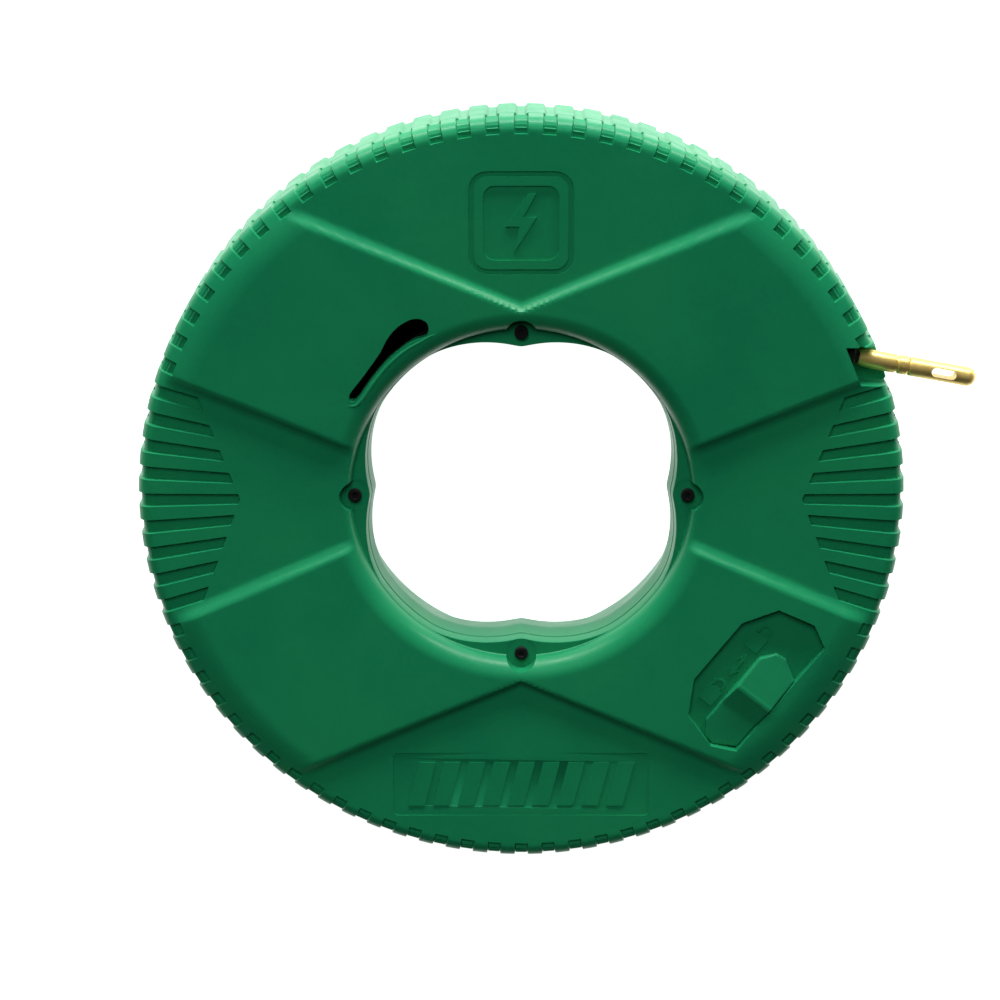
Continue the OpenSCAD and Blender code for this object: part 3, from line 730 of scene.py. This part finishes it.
def lock_outline(grow=0.0):
    """Outline of the lock's recess: an oblong with cut corners, grown by a margin."""
    g = grow
    half = [(166.6 + g, 34.8 + g), (154.8 + g, 40.8 + g), (136 - g, 35.8 + g), (126 - g, 18.9 + g)]
    return in_lock(np.array(half + [(x, -y) for x, y in half[::-1]]))


def window_outline():
    """Outline of the tape window: almost an arc round the hand hole on one side, and on the other a slanted
    side that spreads to a round end."""
    inner = [(94.9, 119.4), (96.2, 123), (96.6, 128), (96.4, 134), (95.7, 140.5), (95.4, 146.5)]
    outer = [(96.2, 148.6), (98.6, 148.9), (99.9, 147), (99.7, 140.5), (101.6, 133), (104.6, 128.7),
             (106.2, 125), (106.3, 121.5), (104.9, 119), (101.6, 117.3), (97.9, 117.5)]
    return smooth_loop(np.array([polar(r, a) for r, a in inner + outer]), 6)


def bolt_outline(size):
    """Outline of a lightning bolt about the origin, twice size high."""
    points = [(0.22, 1.0), (-0.52, -0.12), (-0.06, -0.12), (-0.24, -1.0), (0.52, 0.2), (0.06, 0.2), (0.50, 1.0)]
    return np.array(points) * size


def face_marks(shape):
    """Cutting blocks of the face's marks: a rounded square frame round a sunk field that holds a bolt, and
    a shallow plate with slanted bars. Their floors follow the panel."""
    depth = shape.mark_depth / MM
    badge = np.array([0, 138.5])
    plate = np.array([0, -150.2])

    def floor_at(share):
        return lambda x, y: front_panel_z(np.hypot(x, y)) - depth * share

    lean = math.tan(math.radians(14))
    height = 11.5
    bars = []
    for k in range(-4, 5):
        x, half = 12.6 * k, 4.2
        corners = [(x - half - lean * height, -height), (x + half - lean * height, -height),
                   (x + half + lean * height, height), (x - half + lean * height, height)]
        bars.append(np.array(corners) + plate)
    return [
        prism([rounded_box(25.5, 25.5, 9) + badge, rounded_box(22.9, 22.9, 6.8) + badge], floor_at(1), ABOVE),
        prism([rounded_box(18.4, 18.4, 5.5) + badge, bolt_outline(14.5) + badge], floor_at(1.05), ABOVE),
        prism([rounded_box(65, 16.6, 2.5) + plate] + bars, floor_at(0.72), ABOVE),
    ]


def disc(centre, radius, sides=64):
    return arc_points(centre, radius, 0, 360 - 360 / sides, sides - 1)


class REEL_OT_front_shell(bpy.types.Operator):
    """Front shell: relief, grip blocks, side grooves, lock recess, mouth, window, screw pockets and marks"""
    bl_idname = "reel.front_shell"
    bl_label = "Front Shell"

    def execute(self, context):
        shape = context.scene.reel_shape
        shell = shell_piece("front_shell_skin", front_surface(shape))
        draft = 0.08
        pockets = [prism([disc(polar(SCREW_CIRCLE, a), 7.6)], SCREW_SEAT - 0.2, ABOVE)
                   for a in range(0, 360, 90)]
        cut(shell, [
            prism([lock_outline(-0.3)], LOCK_FLOOR, ABOVE, [lock_outline(-0.3 + (ABOVE - LOCK_FLOOR) * draft)]),
            prism([mouth_outline()], PARTING_Z - 5, ABOVE),
            prism([window_outline()], 49, ABOVE)] + pockets + face_marks(shape), "openings")
        slot = np.array([(152.9, -17.4), (160.1, -17.4), (160.1, 17.4), (152.9, 17.4)])
        bore = revolve([[5.9, 120], [5.9, 185]], 48)
        cut(shell, [prism([in_lock(slot)], 50, LOCK_FLOOR + 1), capped_tube(on_tape_line(bore))], "passages")
        shade(shell, 30)
        finish(shell, case_plastic(), "case", "case_green", ["front_shell"])
        return {"FINISHED"}


class REEL_OT_rear_shell(bpy.types.Operator):
    """Rear shell: relief, grip blocks, the wall of the hand hole and the ledge under the mouth"""
    bl_idname = "reel.rear_shell"
    bl_label = "Rear Shell"

    def execute(self, context):
        shell = shell_piece("rear_shell_skin", rear_surface(context.scene.reel_shape))
        shade(shell, 30)
        finish(shell, case_plastic(), "case", "case_green", ["rear_shell"])
        return {"FINISHED"}


class REEL_OT_grip_ribs(bpy.types.Operator):
    """Fine ribs across the floor of each gap in the front shell's rim"""
    bl_idname = "reel.grip_ribs"
    bl_label = "Grip Ribs"

    def execute(self, context):
        shape = context.scene.reel_shape
        height = shape.rib_height / MM
        pitch = 360 / shape.blocks
        small = GAP_FLOOR_R
        bend = math.radians(88) * small              # length of the floor's arc, then of its straight part
        length = bend + FRONT_EDGE_Z - EDGE_ROUND - PARTING_Z - 0.8
        s = np.linspace(0, length, 71)
        step = (s / length * 10) % 1
        out = height * np.minimum(step / 0.75, (1 - step) / 0.25)
        a = np.maximum(bend - s, 0) / small
        r = EDGE_R + (small + out) * np.cos(a)
        z = FRONT_EDGE_Z - EDGE_ROUND + (small + out) * np.sin(a) - np.maximum(s - bend, 0)
        back_r = EDGE_R + (small - 0.5) * np.cos(a[::-20])
        back_z = FRONT_EDGE_Z - EDGE_ROUND + (small - 0.5) * np.sin(a[::-20]) - np.maximum(s[::-20] - bend, 0)
        r, z = np.concatenate([r, back_r]), np.concatenate([z, back_z])
        outline = np.column_stack([r, z])
        half = math.radians(pitch * (shape.front_gap / 2 - 0.03))
        points, faces = prism([outline], -half, half)
        parts = []
        for i in range(shape.blocks):
            at = i * pitch
            side = abs((at + 90) % 180 - 90) < pitch * 4.6
            mouth = abs(at - math.degrees(MOUTH_ANGLE)) < 6
            if not (side or mouth):
                turn = points[:, 2] + math.radians(at)
                parts.append((np.column_stack([
                    points[:, 0] * np.cos(turn), points[:, 0] * np.sin(turn), points[:, 1]]), faces))
        ribs = new_piece("grip_ribs", *join_parts(parts), sharp=50)
        finish(ribs, case_plastic(), "case", "case_green")
        return {"FINISHED"}


class REEL_OT_window_lip(bpy.types.Operator):
    """Raised bead along the hand-hole side of the tape window"""
    bl_idname = "reel.window_lip"
    bl_label = "Window Lip"

    def execute(self, context):
        marks = [(93.0, 118), (94.2, 123), (94.6, 128), (94.4, 134), (93.7, 140.5), (93.3, 146), (94.3, 149.2),
                 (97.0, 150.4), (99.6, 150.2)]
        points = np.array([polar(r, a) for r, a in marks])
        route = smooth_loop(points, 8)[:8 * (len(marks) - 1) + 1]
        share = np.linspace(0, 1, len(route))
        swell = np.sqrt(np.sin(np.clip(share, 0.001, 0.999) * math.pi))
        radius = 0.5 + 1.1 * swell
        top = front_panel_z(FLARE_R) + ARM_RISE + 0.5 * swell - 0.1
        path = np.column_stack([route, top - radius])
        lip = new_piece("window_lip", *capped_tube(tube_grid(path, radius, 14)), sharp=60)
        finish(lip, case_plastic(), "case", "case_green")
        return {"FINISHED"}


# ---- Lock

def padlock(shackle_lift, opened):
    """Outlines of a padlock sign: a body with round corners and a shackle that is a bent band."""
    body = rounded_box(4.1, 4.8, 0.7, 3)
    outer = arc_points((0, 6.6 + shackle_lift), 3.3, 0 if not opened else -25, 180, 14)
    inner = arc_points((0, 6.6 + shackle_lift), 2.1, 180, 0 if not opened else -25, 12)
    foot = 4.4
    left = np.array([[-3.3, foot], [-2.1, foot]])
    right = np.array([[2.1, foot], [3.3, foot]]) if not opened else np.zeros((0, 2))
    return [body, np.concatenate([outer, left, inner, right])]


class REEL_OT_lock_signs(bpy.types.Operator):
    """Raised signs on the floor of the lock's recess: an open padlock, a two-headed arrow, a shut padlock"""
    bl_idname = "reel.lock_signs"
    bl_label = "Lock Signs"

    def execute(self, context):
        arrow = np.array([(0, 7.2), (2.3, 2.6), (0.8, 3.2), (0.8, -3.2), (2.3, -2.6),
                          (0, -7.2), (-2.3, -2.6), (-0.8, -3.2), (-0.8, 3.2), (-2.3, 2.6)])
        outlines = [o + (138.6, 15.2) for o in padlock(0.8, True)] + [arrow + (139.3, 0.2)]
        outlines += [o + (138.4, -20.4) for o in padlock(0, False)]
        low, high = LOCK_FLOOR - 0.3, LOCK_FLOOR + 0.75
        signs = new_piece("lock_signs", *join_parts([prism([in_lock(o)], low, high) for o in outlines]))
        soften(signs, 0.16)
        finish(signs, case_plastic(), "case", "case_green")
        return {"FINISHED"}


KNOB_ENDS = [(166.2, 22.6), (155.7, 29.0), (150.4, 28.2), (144.8, 21.0)]


def knob_side(y, outer):
    """The knob's edge at a place along it: straight lines through the corners of its outline."""
    corners = KNOB_ENDS[:2] if outer else KNOB_ENDS[1:]
    ys = [abs(c[1]) for c in corners]
    xs = [c[0] for c in corners]
    order = np.argsort(ys)
    return np.interp(np.abs(y), np.array(ys)[order], np.array(xs)[order])


def knob_top(y):
    """Height of the knob's top along it: plate, steep face with a hollow foot, ridge and long slope."""
    return np.interp(y, [-30, -9.5, -8.2, -6.6, 2.1, 2.5, 3.0, 4.2, 4.7, 5.2, 30],
                     [59.3, 59.55, 59.75, 60.35, 63.75, 64.05, 64.15, 64.15, 64.05, 63.85, 59.5])


class REEL_OT_lock_knob(bpy.types.Operator):
    """Lock knob: sections across it, lofted along it, with rounded top edges"""
    bl_idname = "reel.lock_knob"
    bl_label = "Lock Knob"

    def execute(self, context):
        y = np.concatenate([
            [-29, -28.85, -28.6, -28.2, -27.6], np.linspace(-26.5, -11, 12), [-9.5, -8.8, -8.2, -7.4, -6.6],
            np.linspace(-5, 1.4, 6), [2.1, 2.5, 3.0, 4.2, 4.7, 5.2], np.linspace(6.4, 26.5, 16),
            [27.6, 28.2, 28.6, 28.85, 29]])
        t = np.concatenate([
            [0, 0.012, 0.03, 0.055, 0.09], np.linspace(0.14, 0.86, 9), [0.91, 0.945, 0.97, 0.988, 1]])
        left, right = knob_side(y, False)[:, None], knob_side(y, True)[:, None]
        x = left + (right - left) * t
        gap = self.edge_distance(x, np.broadcast_to(y[:, None], x.shape))
        bevel = 0.7
        drop = bevel - np.sqrt(np.maximum(bevel ** 2 - np.maximum(bevel - gap, 0) ** 2, 0))
        top = np.stack([x, np.broadcast_to(y[:, None], x.shape), knob_top(y)[:, None] - drop], -1)
        skirt = 0.25
        base = LOCK_FLOOR + 0.12
        low = np.stack([np.concatenate([right + skirt, left - skirt], 1), np.repeat(y[:, None] * 1.004, 2, 1),
                        np.full((len(y), 2), base)], -1)
        grid = in_lock(np.concatenate([top, low], 1), -LOCK_TRAVEL / 2)
        stem = prism([in_lock(np.array([(153.3, -6), (159.7, -6), (159.7, 6), (153.3, 6)]), -LOCK_TRAVEL / 2)],
                     54.6, base - 0.02)
        knob = new_piece("lock_knob_body", *join_parts([capped_tube(grid), stem]), sharp=24)
        colour = tuple(context.scene.reel_finish.knob_green)
        finish(knob, moulded_plastic("knob_plastic", colour, (0.3, 0.42)), "lock", "knob_green", ["lock_knob"])
        return {"FINISHED"}

    @staticmethod
    def edge_distance(x, y):
        """Distance from the nearest side of the knob's outline, each side taken as an endless line."""
        half = np.array(KNOB_ENDS)
        loop = np.concatenate([half, half[::-1] * (1, -1)])
        middle = loop.mean(0)
        near = np.full(x.shape, 1e3)
        for a, b in zip(loop, np.roll(loop, -1, 0)):
            normal = np.array([b[1] - a[1], a[0] - b[0]]) / np.hypot(*(b - a))
            if np.dot(middle - a, normal) < 0:
                normal = -normal
            near = np.minimum(near, (x - a[0]) * normal[0] + (y - a[1]) * normal[1])
        return np.maximum(near, 0)


# ---- Fasteners

def screw_grid(head_r, head_h, shank_r, shank_l, socket_r, taper=0.0, lobes=6, sides=48):
    """A screw with its head's seat at z = 0: rows run from the socket's floor out over the head, down its
    side and along the shank. The socket's radius waves with its lobes; the thread is a saw tooth that
    climbs by one pitch a turn."""
    a = np.arange(sides) * 2 * math.pi / sides
    wave = socket_r * (1 + 0.13 * np.cos(lobes * a))
    flat = np.ones(sides)
    rows = [(0.3 * flat, head_h - 1.1), (0.7 * wave, head_h - 1.05), (0.97 * wave, head_h - 1.0),
            (wave, head_h - 0.12), (wave + 0.08, head_h - 0.03), (wave + 0.18, head_h)]
    rows += [(flat * head_r * 0.8, head_h), (flat * (head_r - 0.35), head_h - 0.05),
             (flat * (head_r - 0.1), head_h - 0.2), (flat * head_r, head_h - 0.45)]
    rows += [(flat * (head_r + (shank_r - head_r) * taper), 0.12), (flat * (head_r - 0.15 * (1 - taper)
             + (shank_r - head_r) * taper), 0.0), (flat * shank_r, 0.0)]
    pitch, depth = shank_r * 0.55, shank_r * 0.12
    for z in np.arange(0.8, shank_l - 0.8, pitch / 4):
        phase = (z / pitch + a / (2 * math.pi)) % 1
        rows.append((shank_r - depth * np.abs(2 * phase - 1), -z))
    rows += [(flat * shank_r * 0.8, 0.5 - shank_l), (flat * shank_r * 0.45, -shank_l)]
    r = np.stack([row[0] for row in rows])
    z = np.array([row[1] for row in rows])[:, None]
    return np.stack([r * np.cos(a), r * np.sin(a), np.broadcast_to(z, r.shape)], -1)


def screw_set(name, grid, places, flip=False):
    """Copies of one screw, each carried by a function that moves points to its place."""
    if flip:
        grid = grid * np.array([1, -1, -1])
    return new_piece(name, *join_parts([capped_tube(place(grid)) for place in places]), sharp=35)


def upright(xy, z):
    return lambda grid: grid + np.array([xy[0], xy[1], z])


class REEL_OT_fasteners(bpy.types.Operator):
    """Screws of the case, the canister, the tape clamp, the lock and the brake cage"""
    bl_idname = "reel.fasteners"
    bl_label = "Fasteners"

    def execute(self, context):
        grid = screw_grid(3.4, 2.5, 2.0, 30.5, 1.45)
        screws = screw_set(
            "case_screw_set", grid, [upright(polar(SCREW_CIRCLE, a), SCREW_SEAT) for a in (0, 90, 180, 270)])
        finish(screws, black_steel(), "case", "screw_black", ["case_screws"])

        ring_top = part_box("canister_ring")[1].z / MM
        grid = screw_grid(2.7, 1.2, 1.2, 7.5, 0.85, taper=0.8, sides=30)
        screws = screw_set("canister_screw_set", grid,
                           [upright(polar(174.2, (i + 0.5) * 45), ring_top - 1.25) for i in range(8)])
        finish(screws, zinc_steel(), "canister", "screw_steel", ["canister_screws"])

        low, high = (np.array(p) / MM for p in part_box("clamp_screw"))
        middle = (low + high) / 2
        out = middle[:2] / np.hypot(*middle[:2])
        seat = out * 172.5

        def outwards(grid):
            side = np.array([-out[1], out[0], 0])
            return np.array([seat[0], seat[1], middle[2]]) + grid[..., :1] * side + grid[..., 1:2] * [0, 0, 1] \
                + grid[..., 2:] * np.array([out[0], out[1], 0])

        screws = screw_set("clamp_screw_set", screw_grid(2.6, 1.9, 1.25, 7.8, 0.95, sides=36), [outwards])
        finish(screws, zinc_steel(), "canister", "screw_steel", ["clamp_screw"])

        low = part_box("lock_screw")[0].z / MM
        place = in_lock(np.array([156.5, -LOCK_TRAVEL / 2, 0]))
        screws = screw_set("lock_screw_set", screw_grid(2.6, 1.5, 1.25, 7.0, 0.95, sides=36),
                           [upright(place[:2], low + 1.5)], flip=True)
        finish(screws, zinc_steel(), "lock", "screw_steel", ["lock_screw"])

        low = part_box("cage_screws")[0].z / MM
        grid = screw_grid(2.8, 1.8, 1.2, 9.6, 0.95, sides=36)
        places = [upright(in_lock(np.array([136.5, y, 0]))[:2], low + 1.8) for y in (-5.5, 5.5)]
        screws = screw_set("cage_screw_set", grid, places, flip=True)
        finish(screws, zinc_steel(), "case", "screw_steel", ["cage_screws"])
        return {"FINISHED"}


# ---- Tape

def riser_path():
    """Centre line from the exit line to the inside of the coil: radius and height ease with the angle."""
    a = np.linspace(1.6, 132, 150)
    r = TAPE_OFFSET + (145.9 - TAPE_OFFSET) * ease(a, 0, 112)
    z = TAPE_Z + (32.5 - TAPE_Z) * ease(a, 0, 112 * 0.66)
    turn = TAPE_ANGLE + math.pi / 2 + np.radians(a)
    return np.column_stack([r * np.cos(turn), r * np.sin(turn), z])


def coil_path(layers=6, turns=4, steps=120):
    """Centre line of the wound tape: four turns side by side in each of six layers. The radius steps to
    the next turn, and the height to the next layer, over a twelfth of a turn."""
    low, high = (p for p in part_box("tape_coil"))
    bottom, top = low.z / MM + TAPE_R, high.z / MM - TAPE_R
    outside = high.x / MM - TAPE_R - 0.1
    t = np.linspace(0, layers * turns, layers * turns * steps + 1)[:-1]
    whole = np.floor(t)
    move = ease(t - whole, 11 / 12, 1)
    layer = whole // turns
    place = whole % turns
    at = np.where(layer % 2 == 0, place, turns - 1 - place)
    step = np.where(place == turns - 1, 0, np.where(layer % 2 == 0, 1, -1))
    r = outside - 2 * TAPE_R * 1.006 * (at + step * move)
    step = (top - bottom) / (layers - 1)
    z = bottom + step * (layer + np.where(place == turns - 1, move, 0) * (layer < layers - 1))
    angle = math.radians(200) - t * 2 * math.pi
    return np.column_stack([r * np.cos(angle), r * np.sin(angle), z])


class REEL_OT_tape(bpy.types.Operator):
    """The wound tape as real turns, the stretch that rises to the exit line, and the straight lead"""
    bl_idname = "reel.tape"
    bl_label = "Tape"

    def execute(self, context):
        coil = new_piece("tape_turns", *capped_tube(tube_grid(coil_path(), TAPE_R * 0.99, 8)), sharp=80)
        finish(coil, tape_skin(), "canister", "tape_black", ["tape_coil"])
        riser = new_piece("tape_rise", *capped_tube(tube_grid(riser_path(), TAPE_R * 0.99, 16)), sharp=80)
        finish(riser, tape_skin(), "canister", "tape_black", ["tape_riser"])
        profile = [[0.5, 0.3], [TAPE_R - 0.3, 0.3], [TAPE_R, 0.6], [TAPE_R, 60], [TAPE_R, 120], [TAPE_R, 166.4],
                   [TAPE_R - 0.3, 167.3], [0.5, 167.3]]
        lead = new_piece("tape_straight", *capped_tube(on_tape_line(revolve(profile, 48))), sharp=40)
        finish(lead, tape_skin(), "tape", "tape_black", ["tape_lead"])
        return {"FINISHED"}


class REEL_OT_ferrule_and_tip(bpy.types.Operator):
    """Turned ferrule with its collar, and the round-nosed tip with its long eye"""
    bl_idname = "reel.ferrule_and_tip"
    bl_label = "Ferrule and Tip"

    def execute(self, context):
        bore = TAPE_R + 0.05
        profile = np.concatenate([
            [[bore, 150.6], [bore + 0.5, 150.5], [TIP_R - 1.25, 150.5], [TIP_R - 1.0, 150.75],
             [TIP_R - 0.42, 153.1], [TIP_R - 0.1, 156.0], [TIP_R, 158.6], [TIP_R, 168.7], [TIP_R - 0.1, 168.95],
             [TIP_R - 0.6, 169.1], [TIP_R - 0.75, 169.3], [TIP_R - 0.75, 170.3], [TIP_R - 0.62, 170.5],
             [TIP_R - 0.12, 170.6], [TIP_R, 170.8], [TIP_R, 172.2], [TIP_R - 0.25, 172.35], [TIP_R - 0.25, 172.6],
             [TIP_R, 172.75], [TIP_R, 174.6], [TIP_R - 0.12, 174.9], [TIP_R - 0.5, 175.45], [TIP_R - 0.75, 175.55],
             [2.1, 175.55], [2.1, 168.1], [bore, 168.0]]])
        grid = on_tape_line(revolve(profile, 96))
        ferrule = new_piece("ferrule_and_collar", grid, grid_faces(*grid.shape[:2], wrap_rows=True), sharp=28)
        finish(ferrule, brass_finish(), "tape", "tip_brass", ["leader_ferrule"])
        nose = 209.5 - TIP_R
        profile = np.concatenate([
            [[0.4, 169.0], [1.85, 169.0], [2.0, 169.3], [2.0, 175.6], [TIP_R - 0.7, 175.65], [TIP_R - 0.45, 175.8],
             [TIP_R - 0.08, 176.3], [TIP_R, 176.7], [TIP_R, 183], [TIP_R, 189], [TIP_R, 197]],
            [[TIP_R * math.cos(b), nose + TIP_R * math.sin(b)] for b in np.radians(np.linspace(0, 86, 16))]])
        tip = new_piece("eyelet_tip_body", *capped_tube(on_tape_line(revolve(profile, 96))), sharp=28)
        cut(tip, [self.eye()], "eye")
        shade(tip, 28)
        soften(tip, 0.3, 3)
        finish(tip, brass_finish(), "tape", "tip_brass", ["eyelet_tip"])
        return {"FINISHED"}

    @staticmethod
    def eye():
        """Upright block with round ends, along the exit line about the eye's middle."""
        middle = np.array(EYE_MOUNT["pos_m"][:2]) / MM
        half, radius = 3.95, 2.25
        outline = np.concatenate([
            arc_points((half, 0), radius, -90, 90, 14), arc_points((-half, 0), radius, 90, 270, 14)])
        side = np.array([-TAPE_ALONG[1], TAPE_ALONG[0]])
        return prism([middle + outline[:, :1] * TAPE_ALONG + outline[:, 1:] * side], TAPE_Z - 10, TAPE_Z + 10)


class REEL_OT_exit_guide(bpy.types.Operator):
    """Bush in the mouth's wall, flared at both ends where the tape runs through it"""
    bl_idname = "reel.exit_guide"
    bl_label = "Exit Guide"

    def execute(self, context):
        bore = TAPE_R + 0.35
        lip = 1.25
        profile = np.concatenate([
            [[bore + lip * (1 - math.cos(b)), 131.0 + 2.5 * (1 - math.sin(b))] for b in np.radians([0, 22, 45, 68, 90])],
            [[6.8, 131], [7, 131.2], [7, 132.8], [6.8, 133], [5.8, 133.05], [5.8, 147.7], [5.5, 148]],
            [[bore + lip * (1 - math.cos(b)), 148 - 2.5 * (1 - math.sin(b))] for b in np.radians([90, 68, 45, 22, 0])]])
        grid = on_tape_line(revolve(profile, 64))
        guide = new_piece("exit_guide_bush", grid, grid_faces(*grid.shape[:2], wrap_rows=True), sharp=35)
        finish(guide, black_nylon(), "case", "inner_black", ["exit_guide"])
        return {"FINISHED"}


class REEL_OT_brake_springs(bpy.types.Operator):
    """Two coil springs under the brake shoe's wings; on the real reel they stretch as the shoe lifts"""
    bl_idname = "reel.brake_springs"
    bl_label = "Brake Springs"

    def execute(self, context):
        low, high = (p.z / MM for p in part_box("brake_springs"))
        wire = 0.42
        a = np.linspace(0, 5 * 2 * math.pi, 181)
        z = low + wire + (high - low - 2 * wire) * ease(a, 0.9 * math.pi, 9.1 * math.pi)
        parts = []
        for y in (-15, 15):
            path = np.column_stack([157 + 2.6 * np.cos(a), y + 2.6 * np.sin(a), z])
            parts.append(capped_tube(tube_grid(in_lock(path), wire, 10)))
        springs = new_piece("brake_spring_coils", *join_parts(parts), sharp=80)
        springs.data.materials.append(zinc_steel())
        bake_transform(springs)
        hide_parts("brake_springs")
        return {"FINISHED"}


class REEL_OT_inner_finishes(bpy.types.Operator):
    """Finishes of the canister, the glides, the clamp and the brake, whose shapes come from the frame"""
    bl_idname = "reel.inner_finishes"
    bl_label = "Inner Finishes"

    def execute(self, context):
        acetal = moulded_plastic("white_acetal", (0.78, 0.77, 0.71), (0.3, 0.42), 0.01 * MM, 0.05)
        rubber = moulded_plastic("pad_rubber", (0.02, 0.02, 0.02), (0.7, 0.85), 0.05 * MM, 0.2)
        steel = metal("bright_steel", (0.6, 0.61, 0.62), (0.24, 0.36), stretch=(1, 6, 1))
        finishes = {
            "canister": black_nylon(), "canister_ring": black_nylon(), "lock_carriage": black_nylon(),
            "brake_cage": black_nylon(), "brake_shoe": black_nylon(), "glide_ring_rear": acetal,
            "glide_ring_front": acetal, "glide_pads": acetal, "tape_clamp": steel, "brake_pad": rubber}
        for node, material in finishes.items():
            for place in frame["nodes"][node].material_slots:
                place.material = material
        return {"FINISHED"}


# ---- Stage

def area_light(name, power, size, place, target, colour=(1, 1, 1)):
    """A rectangular soft light that looks at a point."""
    light = bpy.data.lights.new(name, "AREA")
    light.shape = "RECTANGLE"
    light.size, light.size_y = size
    light.energy = power
    light.color = colour
    obj = bpy.data.objects.new(name, light)
    obj.location = place
    obj.rotation_euler = (Vector(target) - Vector(place)).to_track_quat("-Z", "Y").to_euler()
    obj.visible_camera = False
    bpy.context.scene.collection.objects.link(obj)
    return obj


class REEL_OT_stage(bpy.types.Operator):
    """Pale floor, white surround, soft lights and the camera"""
    bl_idname = "reel.stage"
    bl_label = "Stage"

    def execute(self, context):
        scene, stage = context.scene, context.scene.reel_stage
        low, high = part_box("front_shell")
        middle = Vector((0, 0, high.z / 2))

        corners = [(-1, -1), (1, -1), (1, 1), (-1, 1)]
        floor = new_piece("floor", [[FLOOR_HALF * x, FLOOR_HALF * y, FLOOR_Z] for x, y in corners],
                          [[0, 1, 2, 3]])
        n = Nodes("pale_floor")
        n.link(n.mix(n.noise(3, 2), (0.93, 0.93, 0.93), (0.95, 0.95, 0.95)), n.shader.inputs["Base Color"])
        n.shader.inputs["Roughness"].default_value = 0.9
        n.shader.inputs["Emission Color"].default_value = (1, 1, 1, 1)
        n.shader.inputs["Emission Strength"].default_value = 1.0
        floor.data.materials.append(n.material)

        world = bpy.data.worlds.new("surround")
        world.use_nodes = True
        tree = world.node_tree
        background = tree.nodes["Background"]
        split = tree.nodes.new("ShaderNodeSeparateXYZ")
        fade = tree.nodes.new("ShaderNodeMapRange")
        for key, value in (("From Min", 0.06), ("From Max", 0.5), ("To Min", stage.surround), ("To Max", 0.2)):
            fade.inputs[key].default_value = value
        tree.links.new(tree.nodes.new("ShaderNodeTexCoord").outputs["Generated"], split.inputs["Vector"])
        tree.links.new(split.outputs["Z"], fade.inputs["Value"])
        tree.links.new(fade.outputs["Result"], background.inputs["Strength"])
        scene.world = world

        area_light("upper_light", stage.main_light, (2.4, 0.3), (0.1, 1.5, 0.27), (0, 0, 0.03))
        fill = area_light("fill_light", stage.fill_light, (1.2, 1.2), (-0.2, 1.3, 1.9), (0, 0, 0.03))
        fill.visible_glossy = False

        lens = bpy.data.cameras.new("camera")
        lens.lens = 107.1
        lens.sensor_width = 36
        lens.shift_x, lens.shift_y = -0.02126, -0.0148
        camera = bpy.data.objects.new("camera", lens)
        tilt = stage.camera_tilt
        camera.location = middle + stage.camera_distance * Vector((0, math.sin(tilt), math.cos(tilt)))
        camera.rotation_euler = (-tilt, 0, 0)
        scene.collection.objects.link(camera)
        scene.camera = camera
        scene.view_settings.view_transform = "Standard"
        return {"FINISHED"}


class REEL_PT_build(bpy.types.Panel):
    """Lists the steps that build the reel"""
    bl_idname = "REEL_PT_build"
    bl_label = "Fish Tape Reel"
    bl_space_type = "VIEW_3D"
    bl_region_type = "UI"
    bl_category = "Reel"

    def draw(self, context):
        for group in ("reel_shape", "reel_finish", "reel_stage"):
            settings = getattr(context.scene, group)
            box = self.layout.box()
            for name in type(settings).__annotations__:
                box.prop(settings, name)
        for step in STEPS:
            self.layout.operator(step.bl_idname)


STEPS = (
    REEL_OT_front_shell, REEL_OT_rear_shell, REEL_OT_grip_ribs, REEL_OT_window_lip, REEL_OT_lock_signs,
    REEL_OT_lock_knob, REEL_OT_fasteners, REEL_OT_tape, REEL_OT_ferrule_and_tip, REEL_OT_exit_guide,
    REEL_OT_brake_springs, REEL_OT_inner_finishes, REEL_OT_stage)
GROUPS = {"reel_shape": ReelShape, "reel_finish": ReelFinish, "reel_stage": ReelStage}


def register():
    for cls in (*GROUPS.values(), *STEPS, REEL_PT_build):
        bpy.utils.register_class(cls)
    for name, group in GROUPS.items():
        setattr(bpy.types.Scene, name, PointerProperty(type=group))


def unregister():
    for name in GROUPS:
        delattr(bpy.types.Scene, name)
    for cls in (REEL_PT_build, *STEPS[::-1], *GROUPS.values()):
        bpy.utils.unregister_class(cls)


def main():
    """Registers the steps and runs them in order."""
    register()
    for step in STEPS:
        group, name = step.bl_idname.split(".")
        getattr(getattr(bpy.ops, group), name)()


if __name__ == "__main__":
    main()
